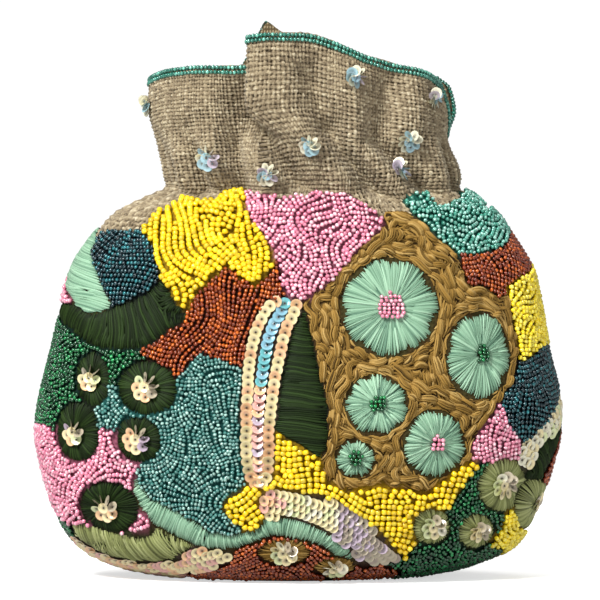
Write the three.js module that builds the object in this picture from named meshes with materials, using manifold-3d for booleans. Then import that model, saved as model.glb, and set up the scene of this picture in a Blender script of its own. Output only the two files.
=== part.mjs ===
import * as THREE from 'three';
import { TessellateModifier } from 'three/addons/modifiers/TessellateModifier.js';
import { mergeVertices } from 'three/addons/utils/BufferGeometryUtils.js';
import Module from 'manifold-3d';

// A gathered jute pouch with a hand-beaded front.
// Millimetres, +Z up. The beaded front faces -Y. The origin is the middle of the flat spot
// that the pouch stands on. A turn is counted in degrees from the front's middle, + to the right.

const wasm = await Module();
wasm.setup();

// Driving sizes
const halfWidth = 103; // the body where it is widest
const halfDepth = 51; // the body where it is deepest
const gatherHeight = 155; // the drawn-in line between body and neck
const neckHeight = 67; // from the gather to the mouth's highest point, at the back
const creaseDepth = 7.4; // the deepest crease of the gathers
const clothWall = 1.6; // jute, worked double
const liningGap = 3.2;
const liningWall = 1.0;
const liningTop = 0.86; // share of the neck, under the jute hem inside the mouth
const edgingHeight = 4.2; // two rows of seed beads
const edgingGap = 0.7; // its facets stand this far off the curved cloth
const beadHeight = 1.6; // a seed bead above its underlay
const underlay = 1.25; // how far the embroidery's underside stands off the cloth
const seamTurn = 98; // the embroidery wraps this far round to the side seams
const stitchGap = 0.5; // left between two worked areas
const floorShare = 2.7; // the worked areas stop at this percent of the gather height
const chartRadius = 60; // the outlines are cut flat, on a sheet rolled round this radius
const sheetStep = 14.5; // longest edge of the cut sheet's triangles

// Level sections: height as a share of the gather height, half width and half depth as
// shares of the largest ones, and the sideways lean as a share of the half width
const SECTIONS = [
  { up: 0, across: 0.37, deep: 0.47, lean: -0.029 },
  { up: 0.018, across: 0.495, deep: 0.6, lean: -0.034 },
  { up: 0.044, across: 0.683, deep: 0.745, lean: -0.029 },
  { up: 0.095, across: 0.837, deep: 0.863, lean: -0.017 },
  { up: 0.19, across: 0.923, deep: 0.96, lean: -0.014 },
  { up: 0.32, across: 0.983, deep: 1, lean: -0.01 },
  { up: 0.4, across: 1, deep: 1, lean: -0.004 },
  { up: 0.48, across: 0.985, deep: 0.97, lean: 0 },
  { up: 0.58, across: 0.947, deep: 0.9, lean: 0 },
  { up: 0.71, across: 0.906, deep: 0.824, lean: 0.004 },
  { up: 0.8, across: 0.873, deep: 0.765, lean: 0.004 },
  { up: 0.88, across: 0.795, deep: 0.706, lean: 0.009 },
  { up: 0.935, across: 0.728, deep: 0.657, lean: 0.014 },
  { up: 0.974, across: 0.635, deep: 0.598, lean: 0.029 },
  { up: 1, across: 0.558, deep: 0.55, lean: 0.033 },
  { up: 1.035, across: 0.557, deep: 0.552, lean: 0.029 },
  { up: 1.11, across: 0.554, deep: 0.556, lean: 0.006 },
  { up: 1.2, across: 0.571, deep: 0.57, lean: -0.006 },
  { up: 1.29, across: 0.563, deep: 0.585, lean: -0.01 },
  { up: 1.44, across: 0.545, deep: 0.59, lean: -0.01 },
];

// Creases (depth below 0) and puffs of the gathered cloth: turn of the upper and lower end,
// their heights as shares of the gather height, breadth in degrees, depth as a share of the
// deepest crease
const FOLDS = [
  { turnTop: -20, turnFoot: -1, top: 1.19, foot: 0.98, breadth: 6, depth: -1.15 },
  { turnTop: -25, turnFoot: -29, top: 1.26, foot: 1.09, breadth: 6, depth: -0.75 },
  { turnTop: -29, turnFoot: -27, top: 1.12, foot: 0.955, breadth: 5.5, depth: -0.8 },
  { turnTop: 4, turnFoot: 13, top: 1.31, foot: 1.13, breadth: 7, depth: -0.8 },
  { turnTop: 13, turnFoot: 30, top: 1.15, foot: 0.965, breadth: 6.5, depth: -1.05 },
  { turnTop: 38, turnFoot: 31, top: 1.28, foot: 1.13, breadth: 7, depth: -0.66 },
  { turnTop: 32, turnFoot: 55, top: 1.13, foot: 0.98, breadth: 7, depth: -0.76 },
  { turnTop: 2, turnFoot: 19, top: 1.16, foot: 0.99, breadth: 6, depth: 0.55 },
  { turnTop: 20, turnFoot: 23, top: 1.3, foot: 1.12, breadth: 6, depth: 0.4 },
  { turnTop: 20, turnFoot: 44, top: 1.13, foot: 0.97, breadth: 7, depth: 0.6 },
  { turnTop: 52, turnFoot: 50, top: 1.3, foot: 1.13, breadth: 10, depth: 0.5 },
  { turnTop: 62, turnFoot: 66, top: 1.12, foot: 0.97, breadth: 8, depth: 0.5 },
  { turnTop: 76, turnFoot: 78, top: 1.09, foot: 0.96, breadth: 5, depth: -0.45 },
  { turnTop: 88, turnFoot: 88, top: 1.084, foot: 0.981, breadth: 11, depth: 0.42 },
  { turnTop: 103, turnFoot: 102, top: 1.329, foot: 1.161, breadth: 12, depth: 0.49 },
  { turnTop: -18, turnFoot: -17, top: 1.1, foot: 0.98, breadth: 6, depth: 0.6 },
  { turnTop: -38, turnFoot: -37, top: 1.14, foot: 1.01, breadth: 7, depth: 0.75 },
  { turnTop: -46, turnFoot: -46, top: 1.09, foot: 0.96, breadth: 4.5, depth: -0.6 },
  { turnTop: -57, turnFoot: -56, top: 1.11, foot: 0.985, breadth: 7.5, depth: 0.6 },
  { turnTop: -67, turnFoot: -66, top: 1.08, foot: 0.955, breadth: 5.5, depth: -0.5 },
  { turnTop: -46, turnFoot: -46, top: 1.33, foot: 1.17, breadth: 14, depth: 0.35 },
  { turnTop: -80, turnFoot: -80, top: 1.135, foot: 0.961, breadth: 8, depth: -0.37 },
  { turnTop: -110, turnFoot: -106, top: 1.265, foot: 0.955, breadth: 9, depth: -0.62 },
  { turnTop: -134, turnFoot: -128, top: 1.316, foot: 0.948, breadth: 9, depth: -0.69 },
  { turnTop: -152, turnFoot: -154, top: 1.2, foot: 0.955, breadth: 9, depth: -0.62 },
  { turnTop: -174, turnFoot: -178, top: 1.355, foot: 0.948, breadth: 10, depth: -0.77 },
  { turnTop: 160, turnFoot: 158, top: 1.226, foot: 0.955, breadth: 9, depth: -0.62 },
  { turnTop: 138, turnFoot: 134, top: 1.29, foot: 0.948, breadth: 9, depth: -0.69 },
  { turnTop: 116, turnFoot: 114, top: 1.135, foot: 0.961, breadth: 8, depth: -0.54 },
];

// The mouth's edge by turn: height above the gather as a share of the neck's tallest point,
// with the open notch at the right side seam
const RIM = [
  { turn: -180, height: 0.9 },
  { turn: -174, height: 0.925 },
  { turn: -167, height: 1 },
  { turn: -164, height: 0.92 },
  { turn: -158, height: 0.74 },
  { turn: -148, height: 0.69 },
  { turn: -120, height: 0.68 },
  { turn: -90, height: 0.657 },
  { turn: -62, height: 0.716 },
  { turn: -43, height: 0.739 },
  { turn: -16, height: 0.746 },
  { turn: -13.3, height: 0.769 },
  { turn: -10.7, height: 0.813 },
  { turn: -8.2, height: 0.873 },
  { turn: -5.6, height: 0.915 },
  { turn: 0, height: 0.937 },
  { turn: 5, height: 0.934 },
  { turn: 10, height: 0.91 },
  { turn: 16, height: 0.878 },
  { turn: 27, height: 0.806 },
  { turn: 44, height: 0.746 },
  { turn: 64, height: 0.687 },
  { turn: 74, height: 0.642 },
  { turn: 82, height: 0.537 },
  { turn: 91, height: 0.343 },
  { turn: 97, height: 0.463 },
  { turn: 104, height: 0.612 },
  { turn: 112, height: 0.672 },
  { turn: 130, height: 0.69 },
  { turn: 150, height: 0.72 },
  { turn: 165, height: 0.82 },
  { turn: 180, height: 0.9 },
];

// The lapped pleat beside the front's middle, in section from left to right: turn from the
// pleat's centre in degrees and stand-off in cloth walls, of the cloth's outer and inner face
const pleatTurn = -12.5;
const pleatFoot = 1.11; // share of the gather height, below which the cloth lies open
const pleatFull = 1.226; // and above which it is fully lapped
const PLEAT = [
  { turnOut: -14, out: 0, turnIn: -14, in: -1 },
  { turnOut: -8, out: -0.62, turnIn: -8, in: -1.62 },
  { turnOut: -2, out: -1, turnIn: -2, in: -2 },
  { turnOut: 4, out: -1.06, turnIn: 4, in: -2.06 },
  { turnOut: 5, out: -0.78, turnIn: 6.8, in: -1.38 },
  { turnOut: 4, out: -0.5, turnIn: 5.6, in: 0.37 },
  { turnOut: 0, out: -0.5, turnIn: 0, in: 0.5 },
  { turnOut: -4.4, out: -0.44, turnIn: -4, in: 0.5 },
  { turnOut: -6.6, out: 0.56, turnIn: -4.8, in: 0.75 },
  { turnOut: -5.4, out: 1.88, turnIn: -4, in: 1.06 },
  { turnOut: 0, out: 2.06, turnIn: 0, in: 1.06 },
  { turnOut: 7, out: 1.75, turnIn: 7, in: 0.75 },
  { turnOut: 14, out: 0.75, turnIn: 14, in: -0.25 },
  { turnOut: 20, out: 0, turnIn: 20, in: -1 },
];

// Materials: colour, roughness, metalness and the work's thickness as a share of a seed bead's
const LOOKS = {
  jute: { colour: 0xb3a283, rough: 0.95, metal: 0 },
  lining: { colour: 0x8a8278, rough: 0.8, metal: 0 },
  rim_green: { colour: 0x2f8f78, rough: 0.25, metal: 0.1 },
  yellow: { colour: 0xf2d21f, rough: 0.2, metal: 0, rise: 1.38 },
  pink: { colour: 0xd9739c, rough: 0.2, metal: 0, rise: 1 },
  seafoam: { colour: 0x3c9f86, rough: 0.2, metal: 0.1, rise: 1 },
  amber: { colour: 0x8c3b17, rough: 0.25, metal: 0.2, rise: 0.94 },
  teal: { colour: 0x6fb5b8, rough: 0.2, metal: 0, rise: 0.94 },
  emerald: { colour: 0x1f6b58, rough: 0.2, metal: 0.1, rise: 0.94 },
  peacock: { colour: 0x1f4457, rough: 0.25, metal: 0.2, rise: 0.94 },
  leaf: { colour: 0x22361c, rough: 0.6, metal: 0, rise: 0.75 },
  mint: { colour: 0xa5d2bd, rough: 0.6, metal: 0, rise: 0.87 },
  olive: { colour: 0x8f955a, rough: 0.6, metal: 0, rise: 0.75 },
  bronze: { colour: 0x7d5c2a, rough: 0.6, metal: 0, rise: 1 },
  sequin: { colour: 0xe3dccb, rough: 0.15, metal: 0.2, rise: 0.75 },
};

// The worked areas of the front, laid over each other in this order, a later one cutting an
// earlier one. Each corner is [across, up]: percent of the half width from the middle, and
// percent of the gather height from the floor.
const AREAS = [
  { name: 'emerald_beads_left', look: 'emerald', outline: [[-92, 68], [-85, 63], [-75, 60.5],
    [-60, 60.5], [-58, 56], [-57, 45], [-60, 35], [-76, 34], [-82, 32], [-93, 35], [-103, 37],
    [-106, 46], [-103, 58], [-98, 66]] },
  { name: 'pink_beads_left', look: 'pink', outline: [[-106, 39.5], [-95, 39.5], [-91, 36],
    [-87, 31.5], [-82, 30.5], [-77, 31.5], [-76, 35], [-67, 35], [-62, 31], [-64, 27],
    [-62, 23], [-57, 18], [-52, 14], [-56, 11], [-63, 10], [-73, 11], [-88, 14], [-94, 19],
    [-100, 25], [-106, 31]] },
  { name: 'emerald_beads_base_left', look: 'emerald', step: 9, outline: [[-101, 23], [-93, 19],
    [-86, 14], [-80, 7], [-63, 2.5], [-39, 2.7], [-39, 0], [-70, 0], [-96, 7], [-106, 20]] },
  { name: 'olive_leaf_stitch', look: 'olive', outline: [[-87, 15], [-80, 14.5], [-73, 13],
    [-63, 11.5], [-56, 12], [-53, 15], [-40, 10.5], [-43, 8.5], [-48, 6], [-57, 5.5],
    [-67, 6], [-75, 7.5], [-82, 10], [-86, 12.5]] },
  { name: 'sequin_arc_left', look: 'sequin', outline: [[-86, 12], [-79, 8.5], [-71, 6.5],
    [-58, 5.5], [-48, 6.5], [-41, 9.5], [-37, 10.5], [-24, 9], [-26, 6.5], [-33, 4.5],
    [-41, 3.2], [-53, 2.7], [-63, 2.9], [-72, 4], [-80, 7], [-85, 10]] },
  { name: 'leaf_stitch_left', look: 'leaf', outline: [[-94, 71.5], [-86, 70], [-81, 69],
    [-72, 70.5], [-63, 73], [-53, 77], [-48, 72], [-43, 69], [-44, 66.5], [-50, 64.5],
    [-56, 61], [-62, 59.5], [-75, 59.5], [-81, 61], [-88, 64.5], [-94, 68]] },
  { name: 'mint_leaf_stitch_left', look: 'mint', outline: [[-78, 89.5], [-78, 85], [-76, 79.5],
    [-73, 75.5], [-70, 71], [-76, 69], [-81, 68.5], [-86, 71], [-88, 75.5], [-87, 79.5],
    [-85, 85], [-81, 89]] },
  { name: 'pink_beads_edge_left', look: 'pink', outline: [[-96, 79], [-88, 79.5], [-88, 75.5],
    [-86, 71], [-92, 70.5], [-98, 71.5]] },
  { name: 'peacock_beads_left', look: 'peacock', outline: [[-75, 88.5], [-67, 89], [-60, 89.5],
    [-57, 87], [-55, 83], [-54, 77], [-58, 74.5], [-63, 72.5], [-71, 70.5], [-74, 74],
    [-77, 79], [-79, 84.5]] },
  { name: 'amber_beads_centre', look: 'amber', outline: [[-40, 75.5], [-33, 82], [-17, 79],
    [-10, 83], [-4, 78], [-4, 72.5], [-14, 70], [-16, 66], [-19, 61.5], [-20, 54.5],
    [-31, 56.5], [-39, 57.5], [-42, 54.5], [-47, 51], [-53, 53.5], [-61, 59.5], [-56, 61],
    [-50, 64.5], [-43, 67], [-42, 71.5]] },
  { name: 'yellow_beads_upper', look: 'yellow', outline: [[-60, 90], [-51, 95], [-45, 97.5],
    [-39, 96.5], [-33, 97], [-28, 99], [-22, 99], [-19, 98], [-20, 94.5], [-15, 90],
    [-10, 84.5], [-10, 81], [-17, 76], [-22, 78], [-28, 81], [-32, 79], [-36, 76.5],
    [-40, 73.5], [-43, 70], [-47, 71.5], [-49, 75.5], [-54, 81.5], [-55, 86]] },
  { name: 'pink_beads_upper', look: 'pink', outline: [[-20, 99], [-15, 99], [-8, 97.5],
    [3, 98], [8, 99], [13, 99], [20, 98], [33, 91.5], [24, 86.5], [19, 82.5], [13, 78],
    [1, 72.5], [-4, 73.5], [-7, 77], [-7, 80.5], [-10, 85], [-15, 90], [-20, 94.5]] },
  { name: 'bronze_stitch_ground', look: 'bronze', outline: [[34, 94], [40, 94], [47, 92],
    [57, 85], [61, 83.5], [62, 79.5], [64, 76.5], [71, 75.5], [77, 73.5], [80, 70.5],
    [82, 65.5], [83, 59.5], [81, 51.5], [77, 47.5], [70, 40.5], [63, 31], [55, 26.5],
    [48, 23.5], [40, 25.5], [30, 26], [18, 25], [10, 27], [8, 30.5], [10, 35.5], [10, 42.5],
    [7, 55], [2, 66.5], [1, 71], [8, 75], [14, 78], [20, 83], [31, 90]] },
  { name: 'seafoam_beads_right', look: 'seafoam', outline: [[41, 96.5], [45, 98.5],
    [48, 98.5], [51, 95.5], [55, 95], [60, 96.5], [62, 98.5], [66, 97.5], [69, 94.5],
    [77, 91], [78, 88.5], [75, 84.5], [69, 83.5], [61, 83.5], [55, 86.5], [46, 92.5]] },
  { name: 'amber_beads_right', look: 'amber', outline: [[61, 83.5], [69, 83.5], [76, 84.5],
    [78, 89.5], [84, 88], [91, 83], [93, 78.5], [82, 77.5], [79, 75], [76, 72.5], [71, 75.5],
    [64, 76.5], [62, 79.5]] },
  { name: 'yellow_beads_right', look: 'yellow', outline: [[79, 75], [83, 77.5], [92, 80.5],
    [98, 71.5], [101, 60], [91, 59.5], [87, 57], [84, 55.5], [83, 60.5], [80, 71]] },
  { name: 'peacock_beads_right', look: 'peacock', outline: [[83, 55.5], [87, 57], [91, 59.5],
    [102, 60], [106, 51], [106, 44.5], [97, 44], [91, 38.5], [85, 36], [83, 36.5], [79, 40.5],
    [77, 44.5], [77, 47.5], [81, 50.5]] },
  { name: 'pink_beads_right', look: 'pink', outline: [[76, 46], [80, 39.5], [84, 36],
    [83, 33.5], [78, 30.5], [72, 31], [67, 32.5], [65, 35], [67, 37.5], [71, 41.5]] },
  { name: 'sequin_strip_right', look: 'sequin', outline: [[97, 49.5], [106, 49], [106, 42.5],
    [92, 35], [88, 29.5], [86, 27], [84, 31], [84, 35], [91, 38.5], [96, 43]] },
  { name: 'leaf_stitch_right', look: 'leaf', outline: [[106, 43], [106, 38], [98, 37.5],
    [95, 32.5], [92, 27], [88, 24.5], [85, 26], [88, 29.5], [92, 35]] },
  { name: 'amber_beads_edge_right', look: 'amber', outline: [[98, 38], [106, 38.5], [106, 30],
    [104, 24.5], [91, 24], [92, 27], [96, 32.5]] },
  { name: 'emerald_beads_right', look: 'emerald', outline: [[69, 31], [74, 30], [76, 25],
    [78, 18], [74, 12], [73, 10], [78, 5.5], [70, 0], [43, 0], [37, 2.7], [31, 6.5], [42, 10],
    [55, 13], [57, 16.5], [55, 19.5], [57, 22.5], [62, 26]] },
  { name: 'yellow_beads_base_right', look: 'yellow', outline: [[89, 25.5], [95, 25],
    [106, 23.5], [103, 13.5], [93, 7], [81, 4.5], [77, 7], [73, 10], [74, 12], [78, 14.5],
    [79, 19], [83, 22.5]] },
  { name: 'yellow_beads_lower', look: 'yellow', outline: [[-10, 40.5], [-7, 41], [-4, 38],
    [2, 35.5], [7, 33.5], [10, 27], [18, 24.5], [30, 26], [48, 23.5], [63, 31], [68, 31],
    [62, 26], [56, 19.5], [45, 18.5], [42, 15], [45, 11.5], [40, 7.5], [27, 12], [12, 20],
    [-4, 21], [-13, 18], [-17, 14.5], [-22, 15], [-30, 20.5], [-26, 23.5], [-18, 25.5],
    [-12, 26], [-10, 33]] },
  { name: 'teal_beads_centre', look: 'teal', outline: [[-38, 58.5], [-31, 57.5], [-22, 55],
    [-22, 49.5], [-24, 37], [-21, 26.5], [-27, 23.5], [-30, 20.5], [-23, 14.5], [-27, 13.5],
    [-36, 14.5], [-50, 20.5], [-57, 22.5], [-62, 29.5], [-53, 33.5], [-53, 40.5], [-66, 43.5],
    [-71, 45.5], [-72, 50], [-67, 51], [-65, 46.5], [-58, 44], [-52, 43.5], [-47, 46],
    [-46, 53], [-42, 56]] },
  { name: 'mint_stitch_arc', look: 'mint', outline: [[-64, 27.5], [-57, 22], [-50, 20],
    [-41, 17], [-34, 14], [-24, 13], [-17, 14], [-13, 17.5], [-5, 17.5], [3, 16], [12, 13.5],
    [19, 10.5], [26, 5.5], [21, 4.5], [16, 6.5], [10, 9.5], [3, 11.5], [-10, 13], [-24, 9.5],
    [-34, 9.5], [-40, 10.5], [-48, 13], [-54, 15], [-63, 23]] },
  { name: 'sequin_arc_lower', look: 'sequin', outline: [[-14, 24], [-4, 24.5], [8, 23],
    [17, 20.5], [27, 15.5], [36, 10], [38, 7], [31, 6.5], [26, 5], [19, 10], [12, 13.5],
    [3, 16.5], [-5, 18], [-13, 18], [-16, 21]] },
  { name: 'amber_beads_base', look: 'amber', outline: [[-24, 9.5], [-10, 13], [3, 11.5],
    [10, 9.5], [17, 5.5], [26, 5], [31, 6], [38, 2.7], [39, 0], [-43, 0], [-43, 2.9],
    [-33, 4.5], [-26, 6.5]] },
  { name: 'leaf_stitch_centre', look: 'leaf', outline: [[1, 71], [4, 63.5], [7, 55],
    [10, 45.5], [10, 35.5], [7, 33], [2, 35.5], [-5, 38], [-10, 40.5], [-11, 45.5],
    [-9, 53.5], [-7, 61], [-4, 67], [-1, 70.5]] },
  { name: 'sequin_band_centre', look: 'sequin', outline: [[-12, 72], [-6, 73], [1, 72.5],
    [0, 69], [-3, 66], [-5, 61], [-7, 54.5], [-9, 47], [-10, 39.5], [-10, 32.5], [-11, 27],
    [-15, 25.5], [-20, 26.5], [-22, 31.5], [-22, 39.5], [-22, 49.5], [-21, 57], [-19, 64.5],
    [-15, 69.5]] },
];

// Round motifs of the front: centre, half width and half height in the same percents
const ROUNDS = [
  { name: 'green_round_1', look: 'leaf', across: -79, up: 52, wide: 6.6, tall: 6.6 },
  { name: 'green_round_2', look: 'leaf', across: -58, up: 50, wide: 11.3, tall: 6.8 },
  { name: 'green_round_3', look: 'leaf', across: -85, up: 38.5, wide: 7.8, tall: 7.6 },
  { name: 'green_round_4', look: 'leaf', across: -61, up: 37, wide: 8.3, tall: 5.7 },
  { name: 'green_round_5', look: 'leaf', across: -73, up: 20, wide: 11.1, tall: 6.2 },
  { name: 'olive_round_1', look: 'olive', across: 77, up: 25, wide: 9.3, tall: 6.8 },
  { name: 'olive_round_2', look: 'olive', across: 88, up: 19, wide: 6.2, tall: 7 },
  { name: 'olive_round_3', look: 'olive', across: 50, up: 15, wide: 7, tall: 4.5 },
  { name: 'olive_round_4', look: 'olive', across: 67, up: 13.5, wide: 6.8, tall: 4.4 },
  { name: 'bronze_round_1', look: 'bronze', across: -6, up: 9, wide: 10.1, tall: 3 },
  { name: 'bronze_round_2', look: 'bronze', across: 13, up: 5.2, wide: 7.8, tall: 2.1 },
  { name: 'mint_flower_1', look: 'mint', across: 34, up: 70.5, wide: 18.6, tall: 12.4 },
  { name: 'mint_flower_2', look: 'mint', across: 68, up: 58, wide: 12.2, tall: 11.1 },
  { name: 'mint_flower_3', look: 'mint', across: 29, up: 46, wide: 12, tall: 7.5 },
  { name: 'mint_flower_4', look: 'mint', across: 51, up: 36, wide: 11.7, tall: 8.6 },
  { name: 'mint_flower_5', look: 'mint', across: 21, up: 32.5, wide: 7.4, tall: 4.8 },
];

// Sequin rosettes on the neck: turn, height as a share of the way from gather to rim, size as
// a share of the largest, and how far the underside stands off the folds
const rosetteRadius = 5.4;
const rosetteThick = 1;
const ROSETTES = [
  { name: 'neck_rosette_1', turn: -38, share: 0.27, size: 1, lift: 2.0 },
  { name: 'neck_rosette_2', turn: -16, share: 0.13, size: 0.81, lift: 0.7 },
  { name: 'neck_rosette_3', turn: 4, share: 0.3, size: 0.78, lift: 1.2 },
  { name: 'neck_rosette_4', turn: 22, share: 0.8, size: 0.74, lift: 0.6 },
  { name: 'neck_rosette_5', turn: 61, share: 0.78, size: 0.74, lift: 0.6 },
  { name: 'neck_rosette_6', turn: 47, share: 0.42, size: 0.89, lift: 1.3 },
  { name: 'neck_rosette_7', turn: 38, share: 0.14, size: 0.89, lift: 0.15 },
  { name: 'neck_rosette_8', turn: -84, share: 0.75, size: 0.74, lift: 0.6 },
];

// Small tools
const rad = THREE.MathUtils.degToRad;
const mix = THREE.MathUtils.lerp;
const smooth = (value, low, high) => THREE.MathUtils.smoothstep(value, low, high);
const wrap = (turn) => ((turn + 540) % 360) - 180;

// A smooth curve through a table's rows
function curveAt(rows, key, column, at) {
  const n = rows.length;
  let i = 0;
  while (i < n - 2 && rows[i + 1][key] <= at) i++;
  const slope = (j) => {
    const a = rows[Math.max(j - 1, 0)];
    const b = rows[Math.min(j + 1, n - 1)];
    return (b[column] - a[column]) / (b[key] - a[key]);
  };
  const span = rows[i + 1][key] - rows[i][key];
  const t = THREE.MathUtils.clamp((at - rows[i][key]) / span, 0, 1);
  const t2 = t * t;
  const t3 = t2 * t;
  return (
    (2 * t3 - 3 * t2 + 1) * rows[i][column] +
    (t3 - 2 * t2 + t) * span * slope(i) +
    (3 * t2 - 2 * t3) * rows[i + 1][column] +
    (t3 - t2) * span * slope(i + 1)
  );
}

// A straight-sided one, for the rim
function lineAt(rows, key, column, at) {
  let i = 0;
  while (i < rows.length - 2 && rows[i + 1][key] <= at) i++;
  const t = (at - rows[i][key]) / (rows[i + 1][key] - rows[i][key]);
  return mix(rows[i][column], rows[i + 1][column], THREE.MathUtils.clamp(t, 0, 1));
}

const rimHeight = (turn) =>
  gatherHeight + neckHeight * lineAt(RIM, 'turn', 'height', wrap(turn));

function section(z) {
  const up = z / gatherHeight;
  return {
    a: halfWidth * curveAt(SECTIONS, 'up', 'across', up),
    b: halfDepth * curveAt(SECTIONS, 'up', 'deep', up),
    lean: halfWidth * curveAt(SECTIONS, 'up', 'lean', up),
  };
}

const WHOLE = { puffs: 1, creases: 1 }; // the cloth itself
const SLACK = { puffs: 0.2, creases: 1 }; // the lining, which doesn't fill the puffs
const STIFF = { puffs: 1, creases: 0.3 }; // the worked areas, which bridge the creases
function foldDepth(turn, z, share) {
  const up = z / gatherHeight;
  let out = 0;
  for (const f of FOLDS) {
    const t = THREE.MathUtils.clamp((up - f.foot) / (f.top - f.foot), 0, 1);
    const off = wrap(turn - mix(f.turnFoot, f.turnTop, t)) / f.breadth;
    const fade =
      smooth(up, f.foot - 0.026, f.foot + 0.045) * (1 - smooth(up, f.top - 0.032, f.top + 0.065));
    const depth = creaseDepth * f.depth * (f.depth > 0 ? share.puffs : share.creases);
    out += depth * Math.exp(-off * off) * fade;
  }
  return out;
}

// The cloth's outer face, before the pleat is laid
function skin(turn, z, share = WHOLE) {
  const { a, b, lean } = section(z);
  const s = Math.sin(rad(turn));
  const c = Math.cos(rad(turn));
  const level = new THREE.Vector3(s / a, -c / b, 0).normalize();
  const fold = foldDepth(turn, z, share);
  return new THREE.Vector3(lean + a * s, -b * c, z).addScaledVector(level, fold);
}

// A point that stands off the cloth's outer face, or lies inside it where out is below 0
function point(turn, z, out, share = WHOLE) {
  const low = Math.max(z - 0.5, 0);
  const round = skin(turn + 0.5, z, share).sub(skin(turn - 0.5, z, share));
  const rising = skin(turn, low + 1, share).sub(skin(turn, low, share));
  const normal = round.cross(rising).normalize();
  return skin(turn, z, share).addScaledVector(normal, out);
}

// Columns round the pouch: close together in the pleat, wide apart at the back
const pleatLow = pleatTurn - 14;
const pleatHigh = pleatTurn + 20;
const COLUMNS = PLEAT.map((pleat, i) => ({
  turn: mix(pleatLow, pleatHigh, i / (PLEAT.length - 1)),
  pleat,
}));
function addColumns(from, to, count) {
  for (let i = 1; i <= count; i++) COLUMNS.push({ turn: mix(from, to, i / count) });
}
addColumns(pleatHigh, 74, 17);
addColumns(74, 106, 6);
addColumns(106, 270, 17);
addColumns(270, 360 + pleatLow, 12);
COLUMNS.pop();

// A point of a column of cloth, on its outer or inner face
function clothPoint(column, z, inner) {
  const lapped = column.pleat ? smooth(z / gatherHeight, pleatFoot, pleatFull) : 0;
  let turn = column.turn;
  let out = inner ? -clothWall : 0;
  if (lapped > 0) {
    const p = column.pleat;
    turn = mix(turn, pleatTurn + (inner ? p.turnIn : p.turnOut), lapped);
    out = mix(out, clothWall * (inner ? p.in : p.out), lapped);
  }
  return point(turn, z, out);
}

// One closed body from a row of loops of points, each loop joined to the next.
// The two ends are closed to their middles, or the last loop joins the first.
function loopBody(loops, ring) {
  const size = loops[0].length;
  const flat = loops.flat();
  const index = [];
  const pairs = ring ? loops.length : loops.length - 1;
  for (let j = 0; j < pairs; j++) {
    const k = (j + 1) % loops.length;
    for (let i = 0; i < size; i++) {
      const n = (i + 1) % size;
      index.push(j * size + i, j * size + n, k * size + n);
      index.push(j * size + i, k * size + n, k * size + i);
    }
  }
  if (!ring) {
    const last = (loops.length - 1) * size;
    const middle = (loop) =>
      loop.reduce((sum, p) => sum.add(p), new THREE.Vector3()).divideScalar(size);
    flat.push(middle(loops[0]), middle(loops[loops.length - 1]));
    for (let i = 0; i < size; i++) {
      const n = (i + 1) % size;
      index.push(flat.length - 2, n, i);
      index.push(flat.length - 1, last + i, last + n);
    }
  }
  const geometry = new THREE.BufferGeometry().setFromPoints(flat);
  geometry.setIndex(index);
  return geometry;
}

// The pouch: body, drawn-in neck and lapped pleat, open at the mouth
const bodyShares = [0, 0.018, 0.044, 0.095, 0.194, 0.335, 0.503, 0.671, 0.8, 0.884, 0.935, 0.97, 1];
const neckShares = [0.12, 0.24, 0.36, 0.5, 0.66, liningTop, 1];
function clothLoops(inner) {
  const body = bodyShares.map((up) =>
    COLUMNS.map((c) => clothPoint(c, up * gatherHeight, inner)),
  );
  const neck = neckShares.map((share) =>
    COLUMNS.map((c) => clothPoint(c, mix(gatherHeight, rimHeight(c.turn), share), inner)),
  );
  return [...body, ...neck];
}
const pouchGeometry = loopBody([...clothLoops(false), ...clothLoops(true).reverse()], false);

// The lining band inside the neck, which passes straight behind the pleat
const pleatBacking = 1.8; // cloth walls that it moves in there
function liningPoint(turn, z, depth) {
  const near = wrap(turn - pleatTurn) / 13;
  const lapped = smooth(z / gatherHeight, pleatFoot - 0.04, pleatFull - 0.04);
  const behind = pleatBacking * clothWall * lapped * Math.exp(-(near ** 4));
  return point(turn, z, -depth - behind, SLACK);
}
function liningLoops(depth) {
  return neckShares.slice(1, -1).map((share) =>
    COLUMNS.map((c) => {
      const z = mix(gatherHeight, rimHeight(c.turn), share);
      return liningPoint(c.turn, z, depth);
    }),
  );
}
const liningDepth = clothWall + liningGap;
const liningGeometry = loopBody(
  [...liningLoops(liningDepth), ...liningLoops(liningDepth + liningWall).reverse()],
  true,
);

// The beaded edging on the mouth's outer face, from the lap of the pleat right round to
// where it would slip under that lap. Its section is in shares of its height.
const EDGING = [
  { down: -0.03, out: 0 },
  { down: 0.2, out: 0.38 },
  { down: 0.5, out: 0.26 },
  { down: 0.8, out: 0.38 },
  { down: 1, out: 0 },
];
function edgingGeometry() {
  const lap = PLEAT.findIndex((p) => p.out > 1.8);
  const run = [...COLUMNS.slice(lap), COLUMNS[0]];
  const loops = run.map((column) => {
    const rim = rimHeight(column.turn);
    const p = column.pleat;
    const turn = p ? pleatTurn + p.turnOut : column.turn;
    const base = p ? clothWall * p.out : 0;
    return EDGING.map((e) => {
      const out = base + edgingGap + e.out * edgingHeight;
      return point(turn, rim - e.down * edgingHeight, out);
    });
  });
  return loopBody(loops, false);
}

// Worked areas are cut flat, as thin boards on the rolled-out sheet, then laid on the cloth
function toSheet(x, z) {
  const { a, lean } = section(z);
  const share = (x - lean) / a;
  const size = Math.abs(share);
  const edge = 0.96;
  const turn =
    size < edge
      ? Math.asin(size)
      : Math.min(mix(Math.asin(edge), rad(seamTurn), (size - edge) / (1 - edge)), rad(seamTurn));
  return new THREE.Vector2(Math.sign(share) * turn * chartRadius, z);
}

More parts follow.
